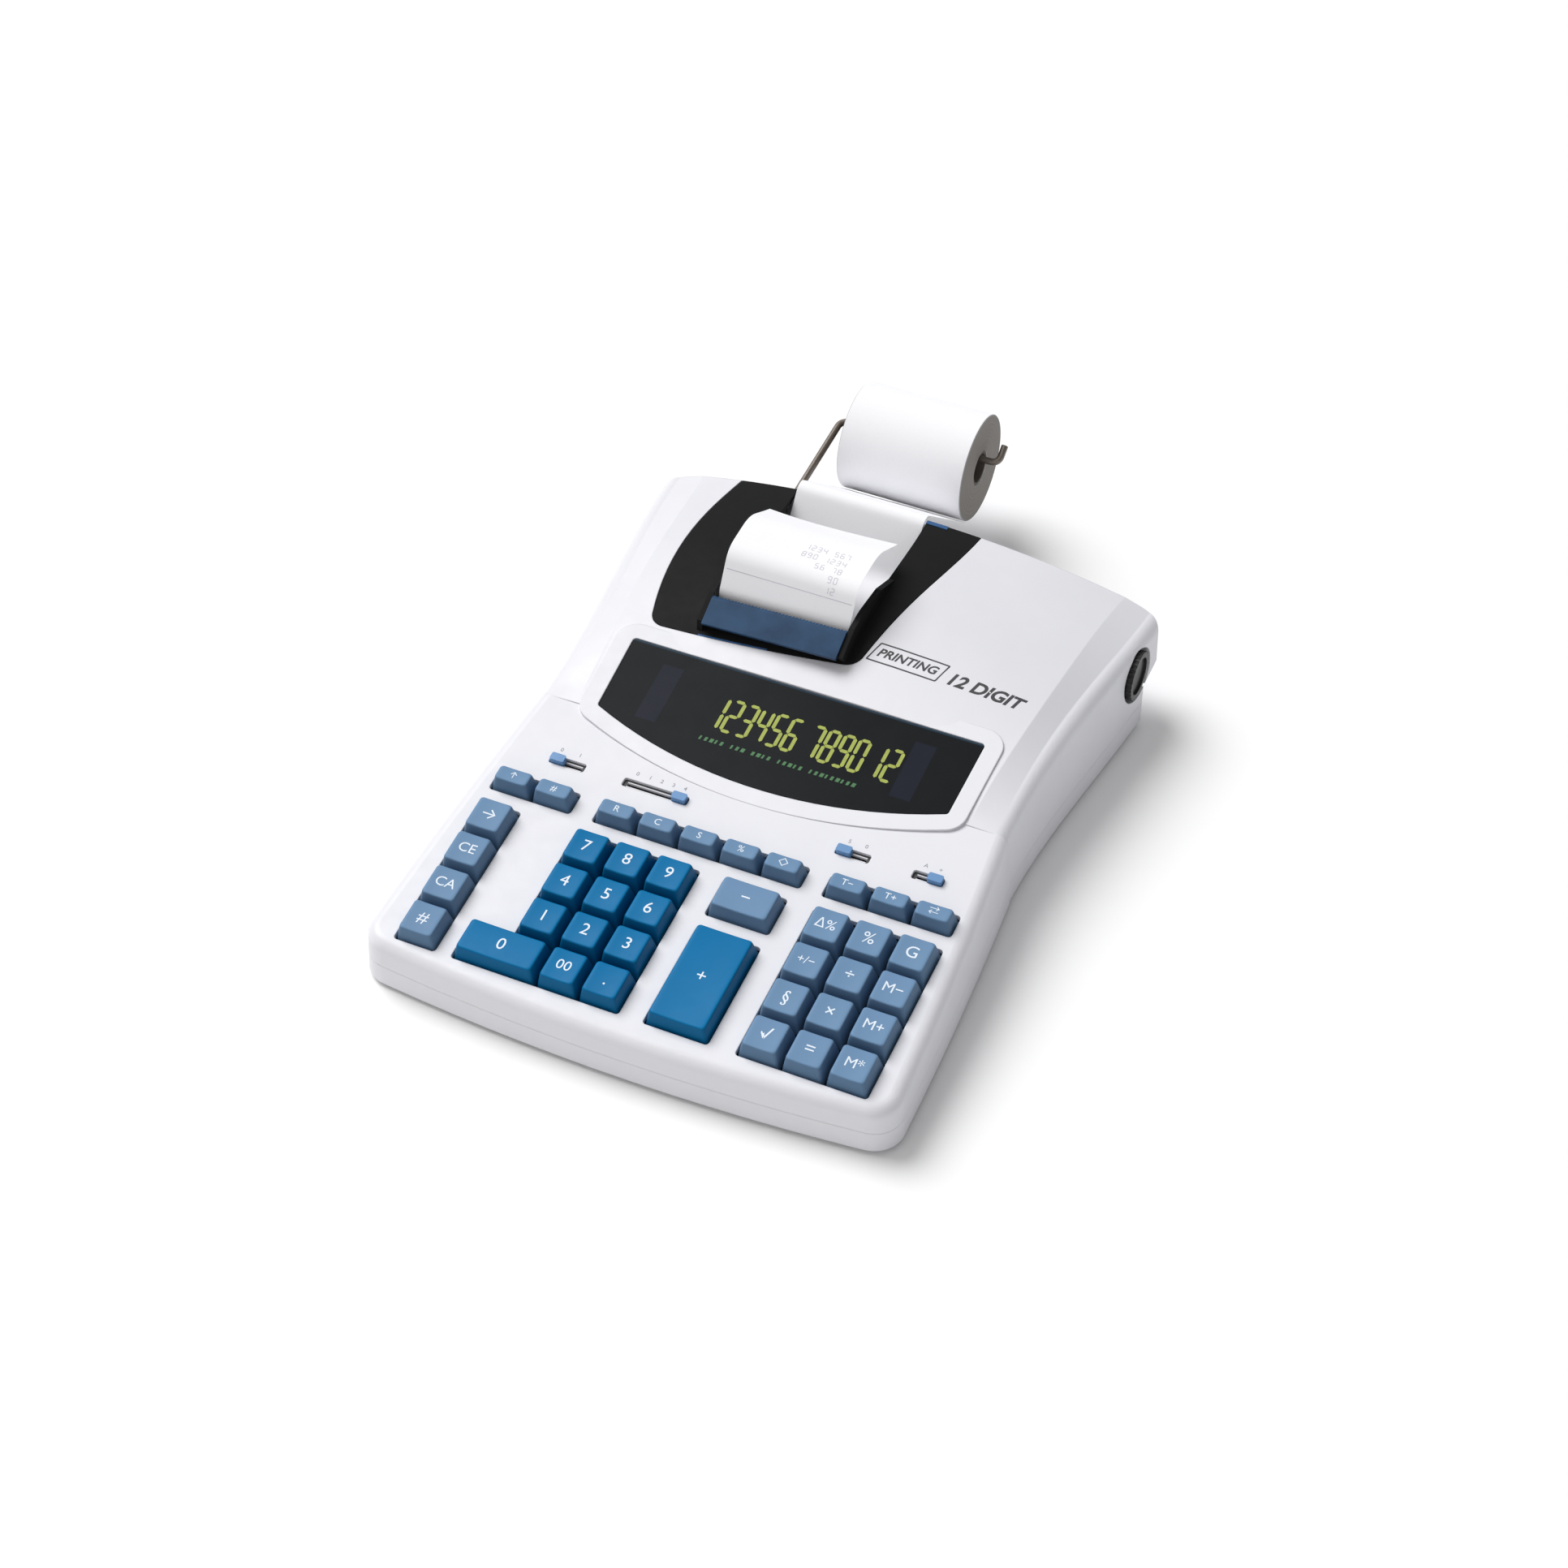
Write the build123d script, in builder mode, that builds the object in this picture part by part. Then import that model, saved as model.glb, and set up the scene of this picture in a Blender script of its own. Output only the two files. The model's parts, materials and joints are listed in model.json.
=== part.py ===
from build123d import *
import os
from math import acos, atan2, cos, radians, sin, tan

# Desk calculator with a paper-roll printer. Millimetres, +Z up, +Y away from the user.
# The origin is on the surface that the feet stand on, under the middle of the overall
# length (front of the case to the back of the paper roll) and of the width.

os.makedirs("parts", exist_ok=True)

# ---------------------------------------------------------------- driving dimensions
front_y = -184.2            # foremost point of the case
rear_y = 98.5               # rear wall of the case
base_z = 2.0                # underside of the case, on its feet
parting_z = 11.0            # seam between the two housings
wall = 2.5
draft = 3.0                 # degrees, on the case's side walls

corner_y = -177.5           # plan of the deck part: where the front meets the sides
corner_half_width = 110.8
bulge_y = -111.5
bulge_half_width = 107.8
waist_y = -43.5
waist_half_width = 102.0
waist_overlap = 2.5         # how far the deck part runs into the dome
corner_radius = 12.0
rim_radius = 5.0

deck_tilt = 7.0             # degrees
deck_row_y = -109.5         # the row of the 7 key, where the deck is deck_row_z high
deck_row_z = 31.0

# the dome behind the waist: y, half width, shoulder height, crease x, crease z, crown z, rim radius
dome_stations = [
    (waist_y, 100.0, 39.1, 84.0, 39.4, 39.6, rim_radius),
    (-5.5, 101.0, 43.0, 86.5, 46.6, 48.3, 5.5),
    (15.5, 103.0, 44.5, 88.5, 49.0, 54.0, 6.0),
    (55.5, 107.8, 45.0, 91.5, 50.0, 57.5, 6.0),
    (rear_y, 112.0, 42.5, 95.0, 46.5, 57.0, 6.0),
]
rear_corner_radius = 12.0
rear_half_width = 114.2      # of the block that rounds the rear corners
undercut = [(101.0, 25.8), (80.5, 19.0), (77.5, -2.0)]     # rear profile below the overhang, (y, z)

panel_tilt = 10.5           # display panel, degrees
panel_y = -57.3             # lowest point of the window's arched edge
panel_z = 37.4
panel_rise = 0.6            # the panel stands this far above its own plane
window_corner = (75.0, 15.4)
window_top = (76.0, 51.3)
window_thickness = 2.0
panel_margin = 7.5

key_pitch_x = 17.5
key_pitch_y = 18.0
key_gap = 0.7
key_height = 6.0            # above the deck
key_skirt = 3.5             # below the deck's top
key_wall = 1.2
key_travel = 3.0
key_taper = 1.75            # each side, from skirt to top
dish_radius = 34.0
dish_depth = 0.45
block_clearance = 0.5

switch_v = 37.2
switch_slot_height = 4.2
switch_recess = 1.2
switch_slit_height = 1.6

cover_thickness = 2.0
cover_gap = 0.3
ledge_width = 4.0
well_x = (-51.4, 7.4)       # opening in the cover for the paper, open to the rear
well_front_y = 17.8
skirt_thickness = 1.4
cheek_thickness = 2.4

tear_foot = (4.6, 53.8)     # y, z of the tear bar's foot at its left end
tear_slope = 27.0           # degrees, up towards the paper
tear_tilt = 2.2             # degrees about Y, following the crown
tear_depth = 13.2
tear_thickness = 1.6
tooth_pitch = 1.5

roll_x = -21.9
roll_y = 160.6
roll_z = 39.0
roll_radius = 23.6
core_radius = 6.5
paper_width = 57.0
paper_thickness = 0.3
wire_radius = 1.5
wire_root = (-58.5, 89.5, 36.55)
wire_end_x = 14.5

feed_y = 74.5
feed_z = 29.0
feed_radius = 6.4
shaft_radius = 2.5
knob_radius = 10.5
knob_x = (105.0, 111.4)
pocket_radius = 12.0
pocket_wall = 1.6
roller_x = (-49.0, 5.0)
plate_x = (-56.0, 10.5)     # right faces of the printer's two side plates are 2 mm apart from these
plate_thickness = 2.0
running_fit = 0.05

screw_spots = [(-66.0, -127.5), (39.8, -159.5), (-85.0, 60.0), (85.0, 60.0)]
screw_radius = 1.45
screw_hole_radius = 1.5
screw_head_radius = 2.7
screw_head_height = 1.3
counterbore_depth = 1.4
boss_radius = 3.6
foot_spots = [(-92.0, -160.0), (92.0, -160.0), (-88.0, 52.0), (88.0, 52.0)]
foot_radius = 7.0

board_depth = 12.4          # underside of the main board below the deck's top
board_thickness = 1.6
mat_thickness = 1.2
dome_height = 1.4
board_half_width = 96.0
board_v = (-62.0, 27.0)
board_hole_radius = 4.6
post_spots = [(-88.0, -160.0), (88.0, -160.0), (-88.0, -95.0), (0.0, -95.0), (88.0, -95.0)]
post_radius = 2.5

deck = Plane(
    origin=(0, deck_row_y, deck_row_z),
    x_dir=(1, 0, 0),
    z_dir=(0, -sin(radians(deck_tilt)), cos(radians(deck_tilt))),
)
panel = Plane(
    origin=(0, panel_y, panel_z),
    x_dir=(1, 0, 0),
    z_dir=(0, -sin(radians(panel_tilt)), cos(radians(panel_tilt))),
)


def on_deck(u, v, height=0.0):
    """A plane parallel to the deck, at u across and v up the slope from the 7 key's row."""
    spot = deck.origin + deck.x_dir * u + deck.y_dir * v + deck.z_dir * height
    return Plane(origin=spot, x_dir=deck.x_dir, z_dir=deck.z_dir)


def save(piece, name):
    """Label a finished piece and write it under its node name."""
    piece.label = name
    export_step(piece, f"parts/{name}.step")


# ---------------------------------------------------------------- key layout on the deck
number_names = [
    ["key_7", "key_8", "key_9"],
    ["key_4", "key_5", "key_6"],
    ["key_1", "key_2", "key_3"],
    [None, "key_00", "key_point"],
]
side_names = ["key_backspace", "key_clear_entry", "key_clear_all", "key_non_add"]
memory_names = [
    ["key_mark_up", "key_mark_down", "key_grand_total"],
    ["key_change_sign", "key_divide", "key_memory_minus"],
    ["key_percent", "key_multiply", "key_memory_plus"],
    ["key_root", "key_equals", "key_memory_recall"],
]
function_groups = [
    (-78.7, ["key_feed", "key_date"]),
    (-7.6, ["key_rate", "key_cost", "key_sell", "key_margin", "key_subtotal"]),
    (71.7, ["key_tax_minus", "key_tax_plus", "key_exchange"]),
]
number_u = -28.2            # centre column of each block
side_u = -87.5
memory_u = 71.8
operator_u = 21.3
top_row_v = -1.1
function_v = 19.7
function_depth = 9.8
function_pitch = 17.6
operator_width = 25.8

key_width = key_pitch_x - key_gap
key_depth = key_pitch_y - key_gap
row_v = [top_row_v - key_pitch_y * row for row in range(4)]

keys = {}                   # name: (u, v, width, depth)
for row, names in enumerate(number_names):
    for column, name in enumerate(names):
        if name:
            keys[name] = (number_u + key_pitch_x * (column - 1), row_v[row], key_width, key_depth)
keys["key_0"] = (number_u - 1.5 * key_pitch_x, row_v[3], key_width + key_pitch_x, key_depth)
for row, name in enumerate(side_names):
    keys[name] = (side_u, row_v[row], key_width, key_depth)
for row, names in enumerate(memory_names):
    for column, name in enumerate(names):
        keys[name] = (memory_u + key_pitch_x * (column - 1), row_v[row], key_width, key_depth)
keys["key_minus"] = (operator_u, row_v[0], operator_width, key_depth)
plus_depth = 2.6 * key_pitch_y
keys["key_plus"] = (operator_u, row_v[3] - key_depth / 2 + plus_depth / 2, operator_width, plus_depth)
for centre, names in function_groups:
    for place, name in enumerate(names):
        offset_u = function_pitch * (place - (len(names) - 1) / 2)
        keys[name] = (centre + offset_u, function_v, function_pitch - key_gap, function_depth)


def block_box(names):
    """Extent of a block of keys, as (u, v, width, depth)."""
    left = min(keys[n][0] - keys[n][2] / 2 for n in names)
    right = max(keys[n][0] + keys[n][2] / 2 for n in names)
    low = min(keys[n][1] - keys[n][3] / 2 for n in names)
    high = max(keys[n][1] + keys[n][3] / 2 for n in names)
    return (left + right) / 2, (low + high) / 2, right - left, high - low


number_block = [name for names in number_names for name in names if name]
memory_block = [name for names in memory_names for name in names]
blocks = [number_block, ["key_0"], side_names, memory_block, ["key_minus"], ["key_plus"]]
blocks += [names for _, names in function_groups]

# switch: knob rest u, slot centre u, slot length
switches = {
    "power_switch_knob": (-77.3, -73.2, 15.2),
    "decimal_switch_knob": (-24.7, -35.0, 28.0),
    "rounding_switch_knob": (45.0, 48.6, 14.2),
    "add_mode_switch_knob": (82.6, 79.6, 12.8),
}


# ---------------------------------------------------------------- shape of the case
def deck_block(inset):
    """The deck part of the case as a solid, drawn in by inset all round."""
    corner = (corner_half_width - inset, corner_y + inset)
    bulge = (bulge_half_width - inset, bulge_y)
    back_corner = (waist_half_width - inset, waist_y + waist_overlap)
    with BuildPart() as block:
        with BuildSketch(Plane.XY.offset(base_z + inset)) as plan:
            with BuildLine():
                ThreePointArc(corner, bulge, back_corner)
                Line(back_corner, (0, back_corner[1]))
                mirror(about=Plane.YZ)
                ThreePointArc((-corner[0], corner[1]), (0, front_y + inset), corner)
            make_face()
            fillet(plan.vertices().group_by(Axis.Y)[0], corner_radius - inset)
        extrude(amount=60, taper=draft)
        split(bisect_by=deck.offset(-inset), keep=Keep.BOTTOM)
        rim = block.faces().sort_by(Axis.Z)[-1]
        rim_edges = rim.edges().filter_by(lambda e: e.center().Y < waist_y - 0.5)
        fillet(rim_edges, rim_radius - inset)
    return block.part


def dome_section(station, inset):
    """One cross-section of the dome, drawn in by inset."""
    y, side, shoulder_z, crease_x, crease_z, crown_z, rim = station
    side -= inset
    shoulder_z -= inset
    rim -= inset
    low = base_z + inset
    flare = tan(radians(draft)) * (shoulder_z - rim - low)
    with BuildSketch(Plane.XZ.offset(-y)) as section:
        with BuildLine():
            wall_line = Polyline((0, low), (side + flare, low), (side, shoulder_z - rim))
            bend = rim * (1 - cos(radians(45)))
            corner = ThreePointArc(
                wall_line @ 1, (side - bend, shoulder_z - bend), (side - rim, shoulder_z)
            )
            Line(corner @ 1, (crease_x, crease_z - inset))
            mirror(about=Plane.YZ)
            ThreePointArc(
                (-crease_x, crease_z - inset), (0, crown_z - inset), (crease_x, crease_z - inset)
            )
        make_face()
    return section.sketch


def case_solid(inset):
    """The whole case as a solid, drawn in by inset; the shell is the difference of two."""
    with BuildPart() as solid:
        sections = [dome_section(station, inset) for station in dome_stations[:-1]]
        last = (rear_y - inset,) + dome_stations[-1][1:]
        sections.append(dome_section(last, inset))
        loft(sections)
        with BuildSketch() as corners:
            with Locations((0, rear_y - inset - waist_half_width)):
                Rectangle(2 * (rear_half_width - inset), 2 * waist_half_width)
            fillet(corners.vertices().group_by(Axis.Y)[-1], rear_corner_radius - inset)
        extrude(amount=80, mode=Mode.INTERSECT)
        add(deck_block(inset))
        with BuildSketch(Plane.YZ) as below:
            with BuildLine():
                shift = 1.2 * inset
                line = Polyline(*[(y - shift, z) for y, z in undercut])
                Polyline(line @ 1, (130, -2), (130, undercut[0][1]), line @ 0)
            make_face()
        extrude(amount=130, both=True, mode=Mode.SUBTRACT)
    return solid.part


def lowered(solid, drop):
    """A copy of a solid, moved straight down."""
    return solid.moved(Location((0, 0, -drop)))


outer = case_solid(0)
inner = case_solid(wall)


# ---------------------------------------------------------------- shared outlines
def cover_outline(grow):
    """Plan outline of the printer cover, grown or drawn in. It runs past the rear wall."""
    left_front = (-73.0 - grow, 2.5 - grow)
    left_rear = (-76.5 - grow, rear_y + 1.5 + grow)
    right_front = (14.0 + grow, 9.0 - grow)
    right_rear = (31.5 + grow, rear_y + 1.5 + grow)
    with BuildSketch() as outline:
        with BuildLine():
            ThreePointArc(left_front, (-81.5 - grow, 50.0), left_rear)
            Polyline(left_rear, right_rear, right_front)
            ThreePointArc(right_front, (-28.0, 4.0 - grow), left_front)
        make_face()
        from_front = outline.vertices().group_by(Axis.Y)
        fillet(from_front[0] + from_front[1], 7 + grow)
    return outline.sketch


def window_outline(grow):
    """Outline of the display window on the panel plane: straight sides, an arched lower edge."""
    with BuildSketch(panel) as outline:
        with BuildLine():
            x, v = window_corner
            top_x, top_v = window_top
            ThreePointArc((-x, v), (0, 0), (x, v))
            Polyline((x, v), (top_x, top_v), (-top_x, top_v), (-x, v))
        make_face()
        fillet(outline.vertices(), 1.5)
        if grow:
            offset(amount=grow)
    return outline.sketch


def raised(sketch, height):
    """A sketch on the panel plane, moved along the panel's normal."""
    return sketch.moved(Location(panel.z_dir * height))


def across(x):
    """The YZ plane at x, whose normal is +X."""
    return Plane.YZ.offset(x)


# the roll hangs with the top of its core on the wire
wire_bend_y = roll_y + 0.4
wire_bend_z = roll_z + core_radius - wire_radius - 0.3
wire_bend = (wire_root[0], wire_bend_y, wire_bend_z)
wire_line = Plane(
    origin=wire_root,
    z_dir=(0, wire_bend_y - wire_root[1], wire_bend_z - wire_root[2]),
)
knob_face = Plane(origin=(knob_x[1], feed_y, feed_z), x_dir=(0, 1, 0), z_dir=(1, 0, 0))

# ---------------------------------------------------------------- upper housing
cover_seat_depth = cover_thickness + cover_gap
pocket_depth = 7.5

with BuildPart() as cover_ledge:
    extrude(cover_outline(ledge_width), amount=80)
    add(lowered(outer, 1.0), mode=Mode.INTERSECT)
    add(lowered(outer, cover_seat_depth + wall), mode=Mode.SUBTRACT)

with BuildPart() as cover_seat:
    extrude(cover_outline(cover_gap), amount=80)
    add(lowered(outer, cover_seat_depth), mode=Mode.SUBTRACT)

# cup for the feed knob, trimmed to the case's own skin
with BuildPart() as knob_cup:
    with BuildSketch(knob_face.offset(-pocket_depth - pocket_wall)):
        Circle(pocket_radius + pocket_wall)
    extrude(amount=pocket_depth + pocket_wall)
    add(outer, mode=Mode.INTERSECT)

with BuildPart() as upper_housing:
    add(outer)
    add(inner, mode=Mode.SUBTRACT)
    # raised display panel, thicker than the wall to hold the window
    extrude(window_outline(panel_margin), amount=panel_rise)
    extrude(window_outline(panel_margin), amount=-wall - window_thickness)
    add(cover_ledge.part)
    # screw bosses, which stop just above the floor
    for x, y in screw_spots:
        with BuildSketch(Plane.XY.offset(base_z + wall + 0.1)):
            with Locations((x, y)):
                Circle(boss_radius)
        extrude(until=Until.NEXT)
    add(knob_cup.part)
    # socket for the roll wire, inside the rear wall
    with BuildSketch(wire_line.offset(-1)):
        Circle(2 * wire_radius)
    extrude(amount=9)
    # window opening and its seat
    extrude(window_outline(-2.5), amount=40, both=True, mode=Mode.SUBTRACT)
    extrude(raised(window_outline(0.15), panel_rise - 0.2 - window_thickness), amount=20,
            dir=panel.z_dir, mode=Mode.SUBTRACT)
    # key openings
    for names in blocks:
        u, v, width, depth = block_box(names)
        with BuildSketch(on_deck(u, v)):
            RectangleRounded(width + 2 * block_clearance, depth + 2 * block_clearance, 1.5)
        extrude(amount=8, both=True, mode=Mode.SUBTRACT)
    # switch slots: a shallow recess and a slit for the stem
    for knob_u, slot_u, slot_length in switches.values():
        with BuildSketch(on_deck(slot_u, switch_v, -switch_recess)):
            RectangleRounded(slot_length, switch_slot_height, 1.0)
        extrude(amount=4, mode=Mode.SUBTRACT)
        with BuildSketch(on_deck(slot_u, switch_v, -6)):
            Rectangle(slot_length - 3.0, switch_slit_height)
        extrude(amount=8, mode=Mode.SUBTRACT)
    # seat of the printer cover and the bay below it
    add(cover_seat.part, mode=Mode.SUBTRACT)
    extrude(cover_outline(-ledge_width).moved(Location((0, 0, 30))), amount=60, mode=Mode.SUBTRACT)
    # feed knob pocket and shaft hole
    with BuildSketch(knob_face.offset(-pocket_depth)):
        Circle(pocket_radius)
    extrude(amount=20, mode=Mode.SUBTRACT)
    with BuildSketch(knob_face):
        Circle(shaft_radius + 0.5)
    extrude(amount=-20, mode=Mode.SUBTRACT)
    # bore of the wire's socket
    with BuildSketch(wire_line):
        Circle(wire_radius + running_fit)
    extrude(amount=30, mode=Mode.SUBTRACT)
    # screw holes in the bosses
    for x, y in screw_spots:
        with BuildSketch(Plane.XY.offset(base_z)):
            with Locations((x, y)):
                Circle(screw_hole_radius)
        extrude(amount=11, mode=Mode.SUBTRACT)
    split(bisect_by=Plane.XY.offset(parting_z), keep=Keep.TOP)
save(upper_housing.part, "upper_housing")

# ---------------------------------------------------------------- lower housing
with BuildPart() as board_posts:
    with BuildSketch(Plane.XY.offset(base_z + wall)):
        with Locations(*post_spots):
            Circle(post_radius)
    extrude(amount=30)
    split(bisect_by=deck.offset(-board_depth), keep=Keep.BOTTOM)

with BuildPart() as lower_housing:
    add(outer)
    add(inner, mode=Mode.SUBTRACT)
    split(bisect_by=Plane.XY.offset(parting_z), keep=Keep.BOTTOM)
    add(board_posts.part)
    for x, y in screw_spots:
        with Locations(Plane(origin=(x, y, base_z), z_dir=(0, 0, -1))):
            CounterBoreHole(screw_hole_radius + 0.2, screw_head_radius + 0.3, counterbore_depth, depth=4)
save(lower_housing.part, "lower_housing")

with BuildPart() as rubber_feet:
    with BuildSketch():
        with Locations(*foot_spots):
            Circle(foot_radius)
    extrude(amount=base_z)
    chamfer(rubber_feet.edges().group_by(Axis.Z)[0], 0.4)
save(rubber_feet.part, "rubber_feet")

with BuildPart() as case_screws:
    head_z = base_z + counterbore_depth - screw_head_height
    with BuildSketch(Plane.XY.offset(head_z)):
        with Locations(*screw_spots):
            Circle(screw_head_radius)
    extrude(amount=screw_head_height)
    with BuildSketch(Plane.XY.offset(head_z)):
        with Locations(*screw_spots):
            Circle(screw_radius)
    extrude(amount=10)
    with BuildSketch(Plane.XY.offset(head_z)):
        with Locations(*screw_spots):
            Rectangle(3.6, 0.7)
            Rectangle(0.7, 3.6)
    extrude(amount=0.8, mode=Mode.SUBTRACT)
save(case_screws.part, "case_screws")

# ---------------------------------------------------------------- display
with BuildPart() as display_window:
    extrude(raised(window_outline(0), panel_rise - 0.2 - window_thickness), amount=window_thickness,
            dir=panel.z_dir)
    rim_edges = display_window.faces().sort_by(Axis.Z)[-1].edges()
    chamfer(rim_edges, 0.3)
save(display_window.part, "display_window")

# a flat glass tube on a card that hangs from the underside of the panel
tube_v = 31.5
tube_length = 132.0
tube_width = 24.0
panel_underside = wall + window_thickness
tube_end = Plane(
    origin=panel.origin - panel.x_dir * tube_length / 2 + panel.y_dir * tube_v
    - panel.z_dir * (panel_underside + 2.0),
    x_dir=panel.y_dir,
    z_dir=-panel.x_dir,
)
with BuildPart() as display_tube:
    with BuildSketch(panel.offset(-panel_underside - 4.5)):
        with Locations((0, tube_v)):
            Rectangle(tube_length, tube_width)
    extrude(amount=5)
    chamfer(display_tube.edges().filter_by(Axis.X), 0.8)
    # sealed pumping stub at the tube's left end
    with BuildSketch(tube_end):
        Circle(1.6)
    extrude(amount=5, taper=12)
    with BuildSketch(panel.offset(-panel_underside - 6.1)):
        with Locations((0, tube_v)):
            Rectangle(158, 30)
    extrude(amount=1.6)
    with BuildSketch(panel.offset(-panel_underside - 6.1)):
        with Locations((76, tube_v), (-76, tube_v)):
            Rectangle(6, 20)
    extrude(amount=6.1)
save(display_tube.part, "display_tube")

# ---------------------------------------------------------------- printer cover and tear bar
rise = tan(radians(tear_tilt))


def well_side(x):
    """Height of the tear bar's foot above the base at x."""
    return tear_foot[1] + (x - well_x[0]) * rise


# the opening's two sides: x, outward, foot of the cheek (y, z), heights of the skirt's top
well_sides = [
    (well_x[0], -1, (4.9, 49.8), (51.6, 54.0, 53.0)),
    (well_x[1], 1, (9.5, 51.6), (53.4, 56.4, 56.0)),
]

with BuildPart() as printer_cover:
    extrude(cover_outline(0), amount=80)
    add(outer, mode=Mode.INTERSECT)
    add(lowered(outer, cover_thickness), mode=Mode.SUBTRACT)
    # opening for the paper
    with BuildSketch(Plane.XY.offset(30)):
        with Locations((sum(well_x) / 2, well_front_y)):
            Rectangle(well_x[1] - well_x[0], rear_y, align=(Align.CENTER, Align.MIN))
    extrude(amount=60, mode=Mode.SUBTRACT)
    for x, side, sill, (front_z, middle_z, back_z) in well_sides:
        # skirt down the side of the opening
        with BuildSketch(across(x)):
            with BuildLine():
                skirt_top = Polyline((well_front_y, front_z), (60, middle_z), (88, back_z))
                Polyline(skirt_top @ 1, (88, 46), (60, 44), (well_front_y, 42), skirt_top @ 0)
            make_face()
        extrude(amount=side * skirt_thickness)
        # cheek that holds one end of the tear bar
        foot_z = well_side(x)
        with BuildSketch(across(x)):
            with BuildLine():
                slope = Polyline(sill, (tear_foot[0] + 0.8, foot_z + 1.2), (17.4, foot_z + 7.3))
                Polyline(
                    slope @ 1, (27.0, foot_z + 8.4), (44.0, foot_z + 6.8), (60.0, middle_z),
                    (30.0, 53.6), slope @ 0
                )
            make_face()
        extrude(amount=side * cheek_thickness)
save(printer_cover.part, "printer_cover")

with BuildPart() as tear_bar:
    foot = Vector(0, *tear_foot)
    up = Vector(0, cos(radians(tear_slope)), sin(radians(tear_slope)))
    out = Vector(0, -up.Z, up.Y)
    bar_length = (well_x[1] - well_x[0]) / cos(radians(tear_tilt))
    along = Vector(cos(radians(tear_tilt)), 0, sin(radians(tear_tilt)))
    bar_end = Plane(origin=foot + Vector(well_x[0], 0, 0), x_dir=up, z_dir=(1, 0, 0))
    with BuildSketch(bar_end):
        with BuildLine():
            edge = Polyline((0, tear_thickness), (0, 0), (tear_depth, 0))
            Polyline(edge @ 1, (tear_depth, 0.6), (tear_depth - 1.5, tear_thickness), edge @ 0)
        make_face()
    extrude(amount=bar_length, dir=along)
    # teeth along the tearing edge
    tooth_count = int(bar_length / tooth_pitch) - 1
    middle = foot + Vector(well_x[0], 0, 0) + along * (bar_length / 2) + up * tear_depth
    with BuildSketch(Plane(origin=middle - out, x_dir=along, z_dir=out)):
        with GridLocations(tooth_pitch, 0, tooth_count, 1):
            Rectangle(0.75, 0.75, rotation=45)
    extrude(amount=4, mode=Mode.SUBTRACT)
save(tear_bar.part, "tear_bar")

# ---------------------------------------------------------------- paper
paper_start_x = roll_x - paper_width / 2

with BuildPart() as paper_roll:
    with BuildSketch(across(paper_start_x)):
        with Locations((roll_y, roll_z)):
            Circle(roll_radius)
            Circle(core_radius, mode=Mode.SUBTRACT)
    extrude(amount=paper_width)
save(paper_roll.part, "paper_roll")

# the paper leaves the roll's underside, goes over the rear wall, round the feed roller and up
# past the tear bar, where the printed end curls back
over_wall = (98.3, 60.0)
leave_radius = roll_radius + 0.4
to_wall = Vector(over_wall[0] - roll_y, over_wall[1] - roll_z)
leave_angle = atan2(to_wall.Y, to_wall.X) + acos(leave_radius / to_wall.length)
leave = (roll_y + leave_radius * cos(leave_angle), roll_z + leave_radius * sin(leave_angle))
feed_top = feed_z + feed_radius + 0.7
paper_points = [
    leave,
    over_wall,
    (79.5, feed_top),
    (33.5, feed_top),
    (18.9, 46.5),
    (19.3, 60.0),
    (28.5, 75.5),
    (48.5, 77.0),
    (68.0, 66.0),
]
paper_bends = [5.0, 8.0, 13.0, 7.0, 9.0, 9.0, 20.0]
with BuildPart() as paper_tape:
    with BuildSketch(across(paper_start_x)):
        with BuildLine():
            FilletPolyline(*paper_points, radius=paper_bends)
            offset(amount=paper_thickness, side=Side.LEFT, closed=True)
        make_face()
    extrude(amount=paper_width)
save(paper_tape.part, "paper_tape")

with BuildPart() as roll_wire:
    with BuildLine():
        FilletPolyline(
            wire_root,
            wire_bend,
            (wire_end_x, wire_bend_y, wire_bend_z),
            (wire_end_x, wire_bend_y + 7.0, wire_bend_z + 4.5),
            radius=[4.0, 3.2],
        )
    with BuildSketch(wire_line):
        Circle(wire_radius)
    sweep(transition=Transition.ROUND)
save(roll_wire.part, "roll_wire")

# ---------------------------------------------------------------- paper feed
feed_axis_spot = (feed_y, feed_z)

with BuildPart() as feed_roller:
    with BuildSketch(across(plate_x[0] - plate_thickness)):
        with Locations(feed_axis_spot):
            Circle(shaft_radius)
    extrude(amount=knob_x[0] - plate_x[0] + plate_thickness)
    with BuildSketch(across(roller_x[0])):
        with Locations(feed_axis_spot):
            Circle(feed_radius)
    extrude(amount=roller_x[1] - roller_x[0])
save(feed_roller.part, "feed_roller")

with BuildPart() as feed_knob:
    with BuildSketch(across(knob_x[0])):
        with Locations(feed_axis_spot):
            Circle(knob_radius)
            with PolarLocations(knob_radius + 0.25, 30):
                Circle(0.7, mode=Mode.SUBTRACT)
    extrude(amount=knob_x[1] - knob_x[0])
    with BuildSketch(across(knob_x[1] - 1.2)):
        with Locations(feed_axis_spot):
            Circle(knob_radius - 2.5)
    extrude(amount=2, mode=Mode.SUBTRACT)
save(feed_knob.part, "feed_knob")

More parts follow.
